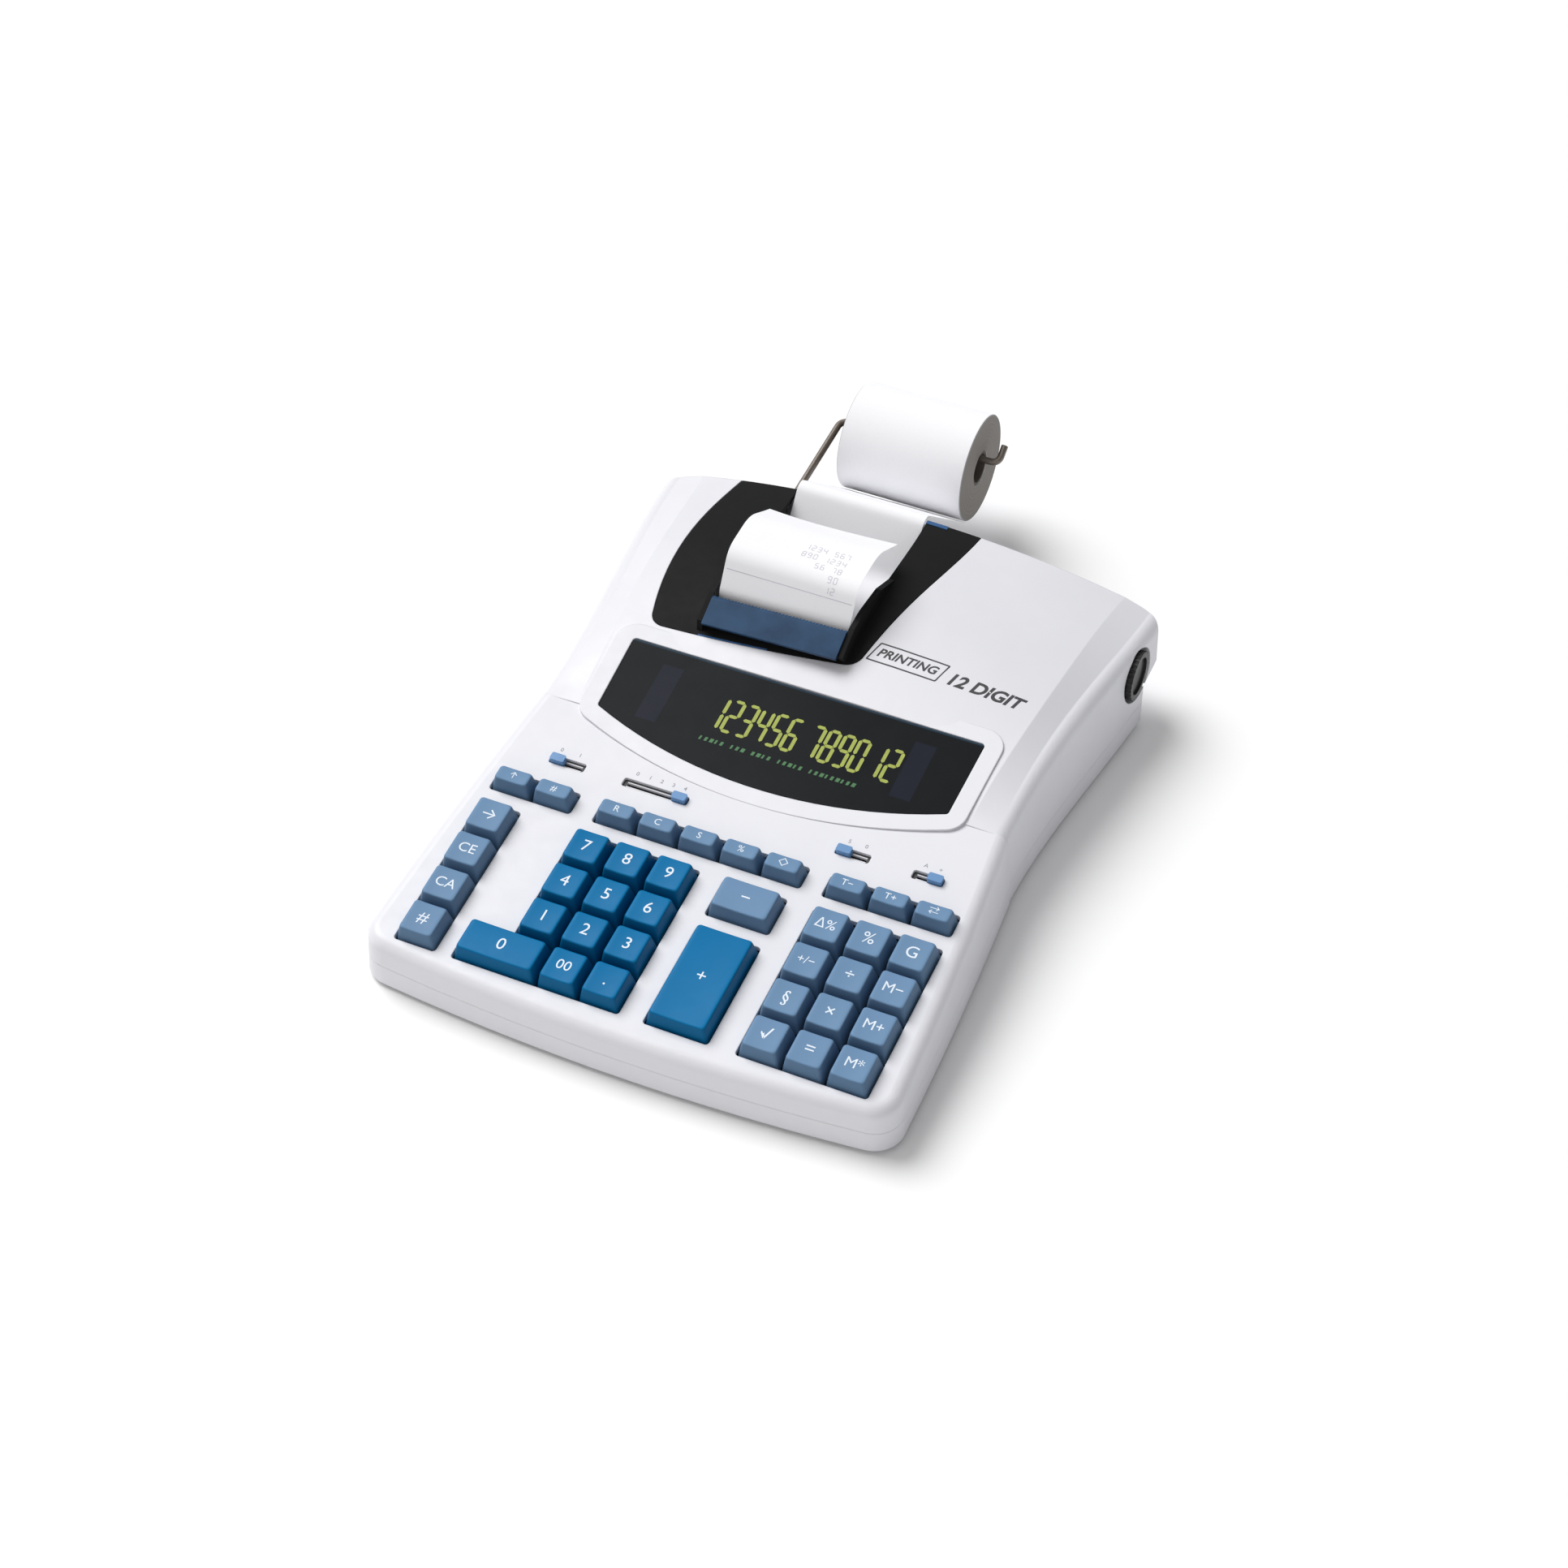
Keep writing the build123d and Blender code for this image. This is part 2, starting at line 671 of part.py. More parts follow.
# ---------------------------------------------------------------- printer mechanism
floor_z = base_z + wall
bay_width = plate_x[1] - plate_x[0]
with BuildPart() as printer_frame:
    for x in (plate_x[0] - plate_thickness, plate_x[1]):
        with BuildSketch(across(x)):
            with BuildLine():
                front = Polyline((73, floor_z), (14, floor_z), (14, 30), (24, 44), (66, 44))
                Polyline(front @ 1, (88, 32), (88, 27), (76, 20), (73, 14), front @ 0)
            make_face()
            with Locations(feed_axis_spot):
                Circle(shaft_radius + running_fit, mode=Mode.SUBTRACT)
        extrude(amount=plate_thickness)
    # base plate, motor on the left plate, type drum and ink roller
    with BuildSketch(across(plate_x[0])):
        with Locations((43.5, floor_z + 0.75)):
            Rectangle(59, 1.5)
        with Locations((25, 24)):
            Circle(6)
        with Locations((50, 20)):
            Circle(8)
    extrude(amount=bay_width)
    with BuildSketch(across(plate_x[0] - plate_thickness)):
        with Locations((46, 20)):
            Circle(10)
    extrude(amount=-18)
save(printer_frame.part, "printer_frame")

# ---------------------------------------------------------------- board and key mat
board_length = board_v[1] - board_v[0]
board_middle = (0, sum(board_v) / 2)
board_holes = screw_spots[:2]
mat_top = -board_depth + board_thickness + mat_thickness

with BuildPart() as main_board:
    with BuildSketch(deck.offset(-board_depth)):
        with Locations(board_middle):
            Rectangle(2 * board_half_width, board_length)
    extrude(amount=board_thickness)
    with Locations(*[(x, y, 0) for x, y in board_holes]):
        Cylinder(board_hole_radius, 100, mode=Mode.SUBTRACT)
save(main_board.part, "main_board")

with BuildPart() as key_mat:
    with BuildSketch(deck.offset(mat_top - mat_thickness)):
        with Locations(board_middle):
            Rectangle(2 * board_half_width, board_length)
    extrude(amount=mat_thickness)
    # a rubber dome under each key
    for u, v, _, _ in keys.values():
        with BuildSketch(on_deck(u, v, mat_top)):
            Circle(3.2)
        extrude(amount=dome_height, taper=20)
    with Locations(*[(x, y, 0) for x, y in board_holes]):
        Cylinder(board_hole_radius, 100, mode=Mode.SUBTRACT)
save(key_mat.part, "key_mat")


# ---------------------------------------------------------------- keys and switch knobs
def keycap(u, v, width, depth):
    """A hollow tapered keycap with a shallow finger dish and a cross stem."""
    skirt = on_deck(u, v, -key_skirt)
    height = key_skirt + key_height
    hollow = height - 1.6
    hollow_taper = key_wall + key_taper * hollow / height
    dish_axis = Plane(origin=on_deck(u, v, key_height).origin, x_dir=deck.x_dir, z_dir=-deck.y_dir)
    with BuildPart() as cap:
        with BuildSketch(skirt):
            RectangleRounded(width, depth, 1.4)
        with BuildSketch(skirt.offset(height)):
            RectangleRounded(width - 2 * key_taper, depth - 2 * key_taper, 1.4)
        loft()
        fillet(cap.faces().sort_by(Axis(deck.origin, deck.z_dir))[-1].edges(), 0.5)
        with BuildSketch(dish_axis):
            with Locations((0, dish_radius - dish_depth)):
                Circle(dish_radius)
        extrude(amount=depth, both=True, mode=Mode.SUBTRACT)
        with BuildSketch(skirt):
            RectangleRounded(width - 2 * key_wall, depth - 2 * key_wall, 0.8)
        with BuildSketch(skirt.offset(hollow)):
            RectangleRounded(width - 2 * hollow_taper, depth - 2 * hollow_taper, 0.8)
        loft(mode=Mode.SUBTRACT)
        with BuildSketch(skirt.offset(-1.1)):
            Rectangle(4.0, 1.4)
            Rectangle(1.4, 4.0)
        extrude(amount=hollow + 1.3)
    return cap.part


for name, (u, v, width, depth) in keys.items():
    save(keycap(u, v, width, depth), name)

# a knob rides in its recess; its stem goes through the slit to a foot that keeps it in
for name, (knob_u, _, _) in switches.items():
    with BuildPart() as knob:
        with BuildSketch(on_deck(knob_u, switch_v, -switch_recess + 0.15)):
            RectangleRounded(6.0, 3.6, 0.7)
        extrude(amount=3.2)
        with BuildSketch(on_deck(knob_u, switch_v, -4.4)):
            Rectangle(1.8, 1.3)
        extrude(amount=4.0)
        with BuildSketch(on_deck(knob_u, switch_v, -4.4)):
            Rectangle(3.4, 3.4)
        extrude(amount=1.4)
    save(knob.part, name)
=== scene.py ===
import json
import math

import bmesh
import bpy
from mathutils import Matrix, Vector
from mathutils.bvhtree import BVHTree


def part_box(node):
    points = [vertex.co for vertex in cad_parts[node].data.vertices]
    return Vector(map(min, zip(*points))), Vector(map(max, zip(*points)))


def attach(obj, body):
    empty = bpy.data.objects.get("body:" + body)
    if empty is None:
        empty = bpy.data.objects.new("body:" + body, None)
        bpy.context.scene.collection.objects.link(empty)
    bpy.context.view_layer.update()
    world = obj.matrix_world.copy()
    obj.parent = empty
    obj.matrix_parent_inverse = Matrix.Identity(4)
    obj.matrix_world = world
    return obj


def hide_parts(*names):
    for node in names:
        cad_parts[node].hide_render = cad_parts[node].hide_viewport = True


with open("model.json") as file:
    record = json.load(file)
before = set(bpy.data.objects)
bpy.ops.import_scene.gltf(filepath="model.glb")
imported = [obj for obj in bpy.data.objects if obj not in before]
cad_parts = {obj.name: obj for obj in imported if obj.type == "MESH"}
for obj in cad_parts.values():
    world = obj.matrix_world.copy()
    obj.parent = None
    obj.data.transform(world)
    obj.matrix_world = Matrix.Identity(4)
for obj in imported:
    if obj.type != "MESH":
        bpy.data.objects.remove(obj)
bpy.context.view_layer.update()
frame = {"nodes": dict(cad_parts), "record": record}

MM = 0.001
RECORD = frame["record"]
BODY_OF = {node: body for body, nodes in RECORD["behaviour"]["bodies"].items() for node in nodes}
SLOT_OF = {part["node"]: part["material_slot"] for part in RECORD["subparts"]}


# ------------------------------------------------------------------ frames of the sloping faces
class Face:
    """A sloping face: x across, v up the slope and h square to it, all measured from the origin."""

    def __init__(self, tilt_degrees):
        tilt = math.radians(tilt_degrees)
        self.x = Vector((1, 0, 0))
        self.v = Vector((0, math.cos(tilt), math.sin(tilt)))
        self.h = Vector((0, -math.sin(tilt), math.cos(tilt)))

    def extent(self, node):
        """Lowest and highest (x, v, h) of a CAD node."""
        spots = [v.co for v in frame["nodes"][node].data.vertices]
        spans = [[s.dot(axis) for s in spots] for axis in (self.x, self.v, self.h)]
        return Vector([min(span) for span in spans]), Vector([max(span) for span in spans])

    def place(self, x, v, h):
        return self.x * x + self.v * v + self.h * h


deck = Face(7.0)
panel = Face(10.5)


# ------------------------------------------------------------------ mesh helpers
def new_piece(name, points, faces, smooth=True):
    """A mesh object in the scene, its doubled points merged and its faces turned outward."""
    mesh = bpy.data.meshes.new(name)
    mesh.from_pydata([tuple(p) for p in points], [], faces)
    mesh.update()
    work = bmesh.new()
    work.from_mesh(mesh)
    bmesh.ops.remove_doubles(work, verts=work.verts, dist=1e-7)
    bmesh.ops.recalc_face_normals(work, faces=work.faces)
    work.to_mesh(mesh)
    work.free()
    piece = bpy.data.objects.new(name, mesh)
    bpy.context.scene.collection.objects.link(piece)
    for polygon in mesh.polygons:
        polygon.use_smooth = smooth
    return piece


def rounded_ring(width, depth, radius, steps=5):
    """Points of a rounded rectangle about the origin, counter-clockwise."""
    radius = min(radius, width / 2 - 1e-5, depth / 2 - 1e-5)
    ring = []
    for corner in range(4):
        sx = 1 if corner in (0, 3) else -1
        sy = 1 if corner in (0, 1) else -1
        for step in range(steps + 1):
            angle = math.pi / 2 * (corner + step / steps)
            ring.append((sx * (width / 2 - radius) + radius * math.cos(angle),
                         sy * (depth / 2 - radius) + radius * math.sin(angle)))
    return ring


def bridge(faces, first, second, count):
    """Quads between two rings of count points that start at first and second."""
    for i in range(count):
        j = (i + 1) % count
        faces.append((first + i, first + j, second + j, second + i))


def finish_piece(piece, node, material, *replaced):
    """Material, body and, where given, the CAD nodes that a new piece stands for."""
    piece.data.materials.clear()
    piece.data.materials.append(material)
    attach(piece, BODY_OF[node])
    if replaced:
        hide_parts(*replaced)
    return piece


# ------------------------------------------------------------------ materials
def colour(red, green, blue):
    """A display colour from 0 to 255 as a linear colour."""
    linear = []
    for part in (red / 255, green / 255, blue / 255):
        linear.append(part / 12.92 if part <= 0.04045 else ((part + 0.055) / 1.055) ** 2.4)
    return (*linear, 1.0)


class Finish:
    """A node material with helpers for the parts that most finishes share."""

    def __init__(self, name, base, roughness, **sockets):
        self.material = bpy.data.materials.new(name)
        self.material.use_nodes = True
        self.tree = self.material.node_tree
        self.shader = self.tree.nodes["Principled BSDF"]
        self.shader.inputs["Base Color"].default_value = base
        self.shader.inputs["Roughness"].default_value = roughness
        for socket, value in sockets.items():
            self.shader.inputs[socket.replace("_", " ")].default_value = value
        self.coordinates = self.tree.nodes.new("ShaderNodeTexCoord").outputs["Object"]

    def node(self, kind, **settings):
        """A shader node with its sockets and settings filled in by name."""
        made = self.tree.nodes.new(kind)
        for name, value in settings.items():
            if name in made.inputs:
                made.inputs[name].default_value = value
            else:
                setattr(made, name, value)
        return made

    def link(self, source, target):
        self.tree.links.new(source, target)

    def noise(self, size, detail=3.0, rough=0.55):
        """Noise whose features are about size metres across."""
        made = self.node("ShaderNodeTexNoise")
        made.inputs["Scale"].default_value = 1 / size
        made.inputs["Detail"].default_value = detail
        made.inputs["Roughness"].default_value = rough
        self.link(self.coordinates, made.inputs["Vector"])
        return made.outputs["Fac"]

    def ramp(self, value, *stops):
        """A colour ramp with (place, colour) stops."""
        made = self.node("ShaderNodeValToRGB")
        elements = made.color_ramp.elements
        while len(elements) < len(stops):
            elements.new(0.5)
        for element, (place, shade) in zip(elements, stops):
            element.position = place
            element.color = shade
        self.link(value, made.inputs["Fac"])
        return made.outputs["Color"]

    def span(self, value, low, high, out_low, out_high):
        """Maps value from low..high to out_low..out_high."""
        made = self.node("ShaderNodeMapRange")
        limits = {"From Min": low, "From Max": high, "To Min": out_low, "To Max": out_high}
        for socket, number in limits.items():
            made.inputs[socket].default_value = number
        self.link(value, made.inputs["Value"])
        return made.outputs["Result"]

    def paint(self, source):
        self.link(source, self.shader.inputs["Base Color"])

    def roughen(self, value, low, high):
        """Roughness between low and high, following a noise."""
        self.link(self.span(value, 0.3, 0.7, low, high), self.shader.inputs["Roughness"])

    def relief(self, value, height, strength=1.0, edge=0.0):
        """Bump of the given height in metres over a softened edge normal."""
        bump = self.node("ShaderNodeBump")
        bump.inputs["Strength"].default_value = strength
        bump.inputs["Distance"].default_value = height
        self.link(value, bump.inputs["Height"])
        if edge:
            self.link(self.soft_edge(edge), bump.inputs["Normal"])
        self.link(bump.outputs["Normal"], self.shader.inputs["Normal"])

    def split(self, source):
        """The X, Y and Z outputs of a vector."""
        made = self.node("ShaderNodeSeparateXYZ")
        self.link(source, made.inputs["Vector"])
        return made.outputs

    def maths(self, operation, source, *numbers):
        """A sum on one value; the numbers fill the sockets after the first."""
        made = self.node("ShaderNodeMath", operation=operation)
        self.link(source, made.inputs[0])
        for socket, number in enumerate(numbers, 1):
            made.inputs[socket].default_value = number
        return made.outputs[0]

    def mixed(self, share, source, other, blend="MIX"):
        """The source where share is 0; where it is 1, other: an output or a plain colour."""
        made = self.node("ShaderNodeMix", data_type="RGBA", blend_type=blend)
        self.link(share, made.inputs["Factor"])
        self.link(source, made.inputs["A"])
        if isinstance(other, tuple):
            made.inputs["B"].default_value = other
        else:
            self.link(other, made.inputs["B"])
        return made.outputs["Result"]

    def darker_sides(self, source, factor):
        """Painted shade: the source colour, darkened by the factor on faces that don't look up."""
        facing = self.split(self.node("ShaderNodeNewGeometry").outputs["Normal"])
        painted_shade_share = self.span(facing["Z"], 0.5, 0.9, 1.0, 0.0)
        return self.mixed(painted_shade_share, source, (factor, factor, factor, 1.0), "MULTIPLY")

    def soft_edge(self, radius):
        """A normal that rounds the mesh's edges."""
        made = self.node("ShaderNodeBevel", samples=6)
        made.inputs["Radius"].default_value = radius
        return made.outputs["Normal"]


def shade(base, factor):
    """A linear colour made lighter or darker."""
    return (base[0] * factor, base[1] * factor, base[2] * factor, 1.0)


def moulded(name, base, roughness=0.45, grain=0.00045, height=0.00002, vary=0.05, edge=0.0006,
            sides=1.0, **sockets):
    """Moulded plastic: fine spark texture, faint flow marks and handling shine. A sides factor below 1
    paints shade on the faces that don't look up.
    """
    made = Finish(name, base, roughness, **sockets)
    broad = made.noise(0.03, 4.0)
    flow = made.ramp(broad, (0.3, shade(base, 1 - vary)), (0.7, shade(base, 1 + vary)))
    # faces that don't look up are darkened when sides is below 1: painted shade
    made.paint(made.darker_sides(flow, sides) if sides < 1 else flow)
    wear = made.noise(0.008, 5.0, 0.65)
    made.roughen(wear, roughness - 0.06, roughness + 0.07)
    made.relief(made.noise(grain, 2.0), height, 0.6, edge)
    return made.material


def smoked_window():
    """Dark window: near black, with slightly navy end frames and a faint blue upper edge."""
    black = colour(33, 35, 37)
    navy = colour(40, 42, 52)
    top_blue = colour(58, 84, 104)
    frame_middle, frame_half = 0.0545, 0.0045   # of each end frame, from the window's middle
    low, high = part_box("display_window")
    depth = high.y - low.y
    made = Finish("smoked_window", black, 0.12, Specular_IOR_Level=0.02)
    place = made.split(made.coordinates)
    across = made.maths("COMPARE", made.maths("ABSOLUTE", place["X"]), frame_middle, frame_half)
    along = made.maths("COMPARE", place["Y"], low.y + 0.57 * depth, 0.27 * depth)
    both = made.node("ShaderNodeMath", operation="MULTIPLY")
    made.link(across, both.inputs[0])
    made.link(along, both.inputs[1])
    frames = made.ramp(both.outputs[0], (0.0, black), (1.0, navy))
    top_edge = made.span(place["Y"], high.y - 0.0016, high.y - 0.0002, 0.0, 1.0)
    made.paint(made.mixed(top_edge, frames, top_blue))
    made.roughen(made.noise(0.012, 5.0), 0.10, 0.18)
    return made.material


def paper_finish(name, rings_at=None):
    """Uncoated paper: soft fibre mottling. On a roll's ends, rings for the wound layers, in greys far
    darker than the paper that paint the shade on the ends.
    """
    white = colour(250, 250, 253)
    made = Finish(name, white, 0.75, Subsurface_Weight=0.0)
    sheet = made.ramp(made.noise(0.0009, 6.0, 0.7), (0.3, shade(white, 0.965)), (0.7, white))
    if rings_at is None:
        made.paint(sheet)
        made.relief(made.noise(0.0004, 4.0), 0.000012, 0.5)
        return made.material
    # distance from the roll's axis, which runs along X through rings_at (y, z)
    place = made.split(made.coordinates)
    flat = made.node("ShaderNodeCombineXYZ")
    made.link(place["Y"], flat.inputs["Y"])
    made.link(place["Z"], flat.inputs["Z"])
    radial = made.node("ShaderNodeVectorMath", operation="SUBTRACT")
    made.link(flat.outputs["Vector"], radial.inputs[0])
    radial.inputs[1].default_value = (0, rings_at[0], rings_at[1])
    length = made.node("ShaderNodeVectorMath", operation="LENGTH")
    made.link(radial.outputs["Vector"], length.inputs[0])
    rings = made.node("ShaderNodeTexNoise", noise_dimensions="1D")
    rings.inputs["Scale"].default_value = 1 / 0.00035
    rings.inputs["Detail"].default_value = 4.0
    made.link(length.outputs["Value"], rings.inputs["W"])
    # the ends' dark greys are painted shade; the rings in them stand for the wound layers
    layers = made.ramp(rings.outputs["Fac"], (0.35, colour(120, 115, 110)), (0.65, colour(148, 143, 138)))
    facing = made.split(made.node("ShaderNodeNewGeometry").outputs["Normal"])
    end_rings_and_shade = made.span(made.maths("ABSOLUTE", facing["X"]), 0.5, 0.8, 0.0, 1.0)
    made.paint(made.mixed(end_rings_and_shade, sheet, layers))
    made.relief(rings.outputs["Fac"], 0.00006, 0.5)
    return made.material


def drawn_steel(name, base, roughness):
    """Drawn or plated steel with fine streaks."""
    made = Finish(name, base, roughness, Metallic=1.0)
    streaks = made.noise(0.0006, 5.0, 0.7)
    made.paint(made.ramp(streaks, (0.3, shade(base, 0.8)), (0.7, shade(base, 1.15))))
    made.roughen(streaks, roughness - 0.08, roughness + 0.1)
    made.relief(streaks, 0.00001, 0.5)
    return made.material


def glowing(name, base, strength):
    """Lit phosphor: slightly uneven along each segment."""
    made = Finish(name, base, 0.5, Emission_Color=base)
    made.shader.inputs["Emission Strength"].default_value = strength
    made.paint(made.ramp(made.noise(0.002, 3.0), (0.3, shade(base, 0.75)), (0.7, base)))
    return made.material


def tear_finish():
    """Smoked blue plastic, a little cloudy."""
    base = colour(44, 72, 104)
    made = Finish("smoked_blue", base, 0.3, Specular_IOR_Level=0.12)
    cloud = made.noise(0.012, 4.0)
    made.paint(made.ramp(cloud, (0.3, colour(40, 64, 92)), (0.7, colour(48, 78, 110))))
    made.roughen(cloud, 0.26, 0.36)
    made.relief(made.noise(0.0006, 2.0), 0.00001, 0.5, 0.0003)
    return made.material


def board_finish():
    """Green solder mask with paler copper tracks under it."""
    mask = colour(20, 84, 46)
    made = Finish("solder_mask", mask, 0.35)
    tracks = made.node("ShaderNodeTexBrick")
    tracks.inputs["Scale"].default_value = 90
    tracks.inputs["Color1"].default_value = mask
    tracks.inputs["Color2"].default_value = colour(26, 96, 52)
    tracks.inputs["Mortar"].default_value = colour(70, 140, 70)
    tracks.inputs["Mortar Size"].default_value = 0.03
    made.link(made.coordinates, tracks.inputs["Vector"])
    made.paint(tracks.outputs["Color"])
    made.relief(tracks.outputs["Fac"], 0.00004, 0.5)
    return made.material


BLUE = colour(8, 113, 167)
SLATE = colour(110, 143, 177)
finishes = {
    "housing": moulded("housing_plastic", colour(226, 226, 231), 0.42, vary=0.012, edge=0.0007),
    "cover_black": moulded("cover_plastic", colour(27, 27, 28), 0.55, vary=0.03, edge=0.0004,
                           Specular_IOR_Level=0.08),
    "display_window": smoked_window(),
    "tube_glass": moulded("tube_glass", colour(36, 44, 42), 0.15, grain=0.002, vary=0.15),
    "tear_bar": tear_finish(),
    "paper": paper_finish("paper_strip"),
    "wire_steel": drawn_steel("wire_steel", colour(132, 124, 116), 0.38),
    "knob_black": moulded("knob_plastic", colour(34, 34, 35), 0.45, vary=0.1, edge=0.0002),
    "roller_rubber": moulded("roller_rubber", colour(48, 48, 50), 0.75, vary=0.12),
    "mechanism": moulded("frame_plastic", colour(60, 60, 62), 0.55, vary=0.1),
    "board": board_finish(),
    # the dome mat is near black as painted shade, so that the gaps round the keys look dark
    "key_mat": moulded("dome_mat_painted_shade", colour(34, 36, 44), 0.7, vary=0.1),
    "feet_rubber": moulded("foot_rubber", colour(52, 52, 54), 0.8, grain=0.0008, height=0.00005, vary=0.15),
    "screw_steel": drawn_steel("screw_zinc", colour(176, 178, 182), 0.3),
    # sides=0.72 darkens the keys' sides as painted shade
    "keys_blue": moulded("blue_keys", BLUE, 0.38, vary=0.03, edge=0, sides=0.72, Specular_IOR_Level=0.1),
    "keys_slate": moulded("slate_keys", SLATE, 0.4, vary=0.03, edge=0, sides=0.72, Specular_IOR_Level=0.1),
    "switch_knob": moulded("switch_plastic", colour(92, 140, 190), 0.38, vary=0.06, edge=0.0002),
}
legend_ink = moulded("legend_ink", colour(226, 236, 246), 0.5, vary=0.03, edge=0)
grey_ink = moulded("grey_ink", colour(150, 150, 158), 0.6, vary=0.05, edge=0)
label_ink = moulded("label_ink", colour(62, 62, 66), 0.6, vary=0.1, edge=0)
print_ink = moulded("printed_figures", colour(204, 202, 210), 0.7, vary=0.1, edge=0)
cardboard = moulded("core_board", colour(96, 88, 80), 0.8, grain=0.0008, height=0.00005, vary=0.15, edge=0)
# the blue of the strips on the cover's rim, which paint a reflection and a glint
lip_and_glint_blue = moulded("lip_and_glint_blue", colour(50, 92, 140), 0.35, vary=0.05, edge=0)
lit_digits = glowing("lit_digits", colour(140, 150, 52), 0.4)
lit_marks = glowing("lit_marks", colour(44, 104, 52), 0.25)


def smooth_by_angle(piece, degrees):
    """Smooth shading, with edges sharper than the angle left crisp."""
    mesh = piece.data
    for polygon in mesh.polygons:
        polygon.use_smooth = True
    mesh.set_sharp_from_angle(angle=math.radians(degrees))


def dress_cad_nodes():
    """The finish of its slot on every CAD node."""
    for node, item in frame["nodes"].items():
        item.data.materials.clear()
        item.data.materials.append(finishes[SLOT_OF[node]])
        smooth_by_angle(item, 28)


dress_cad_nodes()


# ------------------------------------------------------------------ keycaps and their legends
DISH = 0.28 * MM            # depth of the finger dish
CAP_COLUMNS = 10            # spans of the dish between the corners
# height below the top, how far the side has come in, and the corner radius there, in mm
CAP_RINGS = [
    (9.5, 0.0, 1.2), (5.0, 0.75, 1.2), (1.0, 1.45, 1.3), (0.6, 1.55, 1.4),
    (0.28, 1.72, 1.5), (0.08, 1.98, 1.6), (0.0, 2.35, 1.6),
]
INK = 0.06 * MM             # thickness of printed marks
SMALL_KEY = 12 * MM         # keys less deep than this have small legends
SMALL_LEGEND = 4.2 * MM
SINGLE_LEGEND = 7.4 * MM
DOUBLE_LEGEND = 6.2 * MM
TRIPLE_LEGEND = 5.0 * MM
LEGENDS = {
    "key_backspace": "→", "key_clear_entry": "CE", "key_clear_all": "CA", "key_non_add": "#",
    "key_mark_up": "Δ%", "key_mark_down": "%", "key_grand_total": "G",
    "key_change_sign": "+/−", "key_divide": "÷", "key_memory_minus": "M−",
    "key_percent": "§", "key_multiply": "×", "key_memory_plus": "M+",
    "key_root": "√", "key_equals": "=", "key_memory_recall": "M*",
    "key_feed": "↑", "key_date": "#", "key_rate": "R", "key_cost": "C", "key_sell": "S",
    "key_margin": "%", "key_subtotal": "◇", "key_tax_minus": "T−", "key_tax_plus": "T+",
    "key_exchange": "⇄", "key_plus": "+", "key_minus": "−", "key_point": ".", "key_00": "00",
}
LEGENDS.update({f"key_{digit}": str(digit) for digit in range(10)})


def dish_drop(x, half):
    """How far a cap's finger dish lies below its rim at x from the middle."""
    return DISH * max(0.0, 1 - (x / half) ** 2)


def cap_ring(width, depth, radius, columns):
    """A rounded rectangle whose long sides also have points at each of the columns."""
    corner = rounded_ring(width, depth, radius, 4)
    right_top, left_top, left_low, right_low = corner[:5], corner[5:10], corner[10:15], corner[15:]
    reach = width / 2 - radius
    inner = [reach * (1 - 2 * i / columns) for i in range(1, columns)]
    back = [(x, depth / 2) for x in inner]
    front = [(x, -depth / 2) for x in reversed(inner)]
    return right_top + back + left_top + left_low + front + right_low


def build_cap(node):
    """A keycap with drawn-in sides, a rolled rim and a shallow dish from side to side."""
    low, high = deck.extent(node)
    width, depth = high.x - low.x, high.y - low.y
    centre_x, centre_v, top = (low.x + high.x) / 2, (low.y + high.y) / 2, high.z
    half = width / 2 - CAP_RINGS[-1][1] * MM
    points, faces = [], []
    start = count = 0
    for below, come_in, radius in CAP_RINGS:
        ring = cap_ring(width - 2 * come_in * MM, depth - 2 * come_in * MM, radius * MM, CAP_COLUMNS)
        previous, start, count = start, len(points), len(ring)
        for x, v in ring:
            drop = dish_drop(x, half) * max(0.0, 1 - below)
            points.append(deck.place(centre_x + x, centre_v + v, top - below * MM - drop))
        if start:
            bridge(faces, previous, start, count)
    # the dished top runs front to back in strips between mirrored points of the last ring
    side = count // 2
    for i in range(side - 1):
        faces.append((start + i, start + i + 1, start + count - 2 - i, start + count - 1 - i))
    faces.append(tuple(range(count - 1, -1, -1)))
    cap = new_piece(node + "_cap", points, faces)
    cap.data.set_sharp_from_angle(angle=math.radians(60))
    finish_piece(cap, node, finishes[SLOT_OF[node]], node)
    return Vector((centre_x, centre_v, top)), half


def solid_from_curve(name, curve):
    """The mesh object that a curve with a thickness makes."""
    holder = bpy.data.objects.new(name + "_curve", curve)
    bpy.context.scene.collection.objects.link(holder)
    bpy.context.view_layer.update()
    mesh = bpy.data.meshes.new_from_object(holder.evaluated_get(bpy.context.evaluated_depsgraph_get()))
    bpy.data.objects.remove(holder)
    mesh.name = name
    piece = bpy.data.objects.new(name, mesh)
    bpy.context.scene.collection.objects.link(piece)
    return piece


def text_mesh(name, words, size, thickness, swell=0.0):
    """Flat lettering about the origin, as a mesh object; swell thickens its strokes."""
    curve = bpy.data.curves.new(name, "FONT")
    curve.body = words
    curve.size = size
    curve.extrude = thickness / 2
    curve.offset = swell
    curve.align_x = "CENTER"
    curve.align_y = "CENTER"
    curve.resolution_u = 4
    return solid_from_curve(name, curve)


def set_on(piece, face, x, v, h, drop=None):
    """Lays a flat mesh drawn about the origin on a sloping face, following a dish if there is one."""
    for vertex in piece.data.vertices:
        sink = drop(vertex.co.x) if drop else 0.0
        vertex.co = face.place(x + vertex.co.x, v + vertex.co.y, h + vertex.co.z - sink)
    piece.data.update()


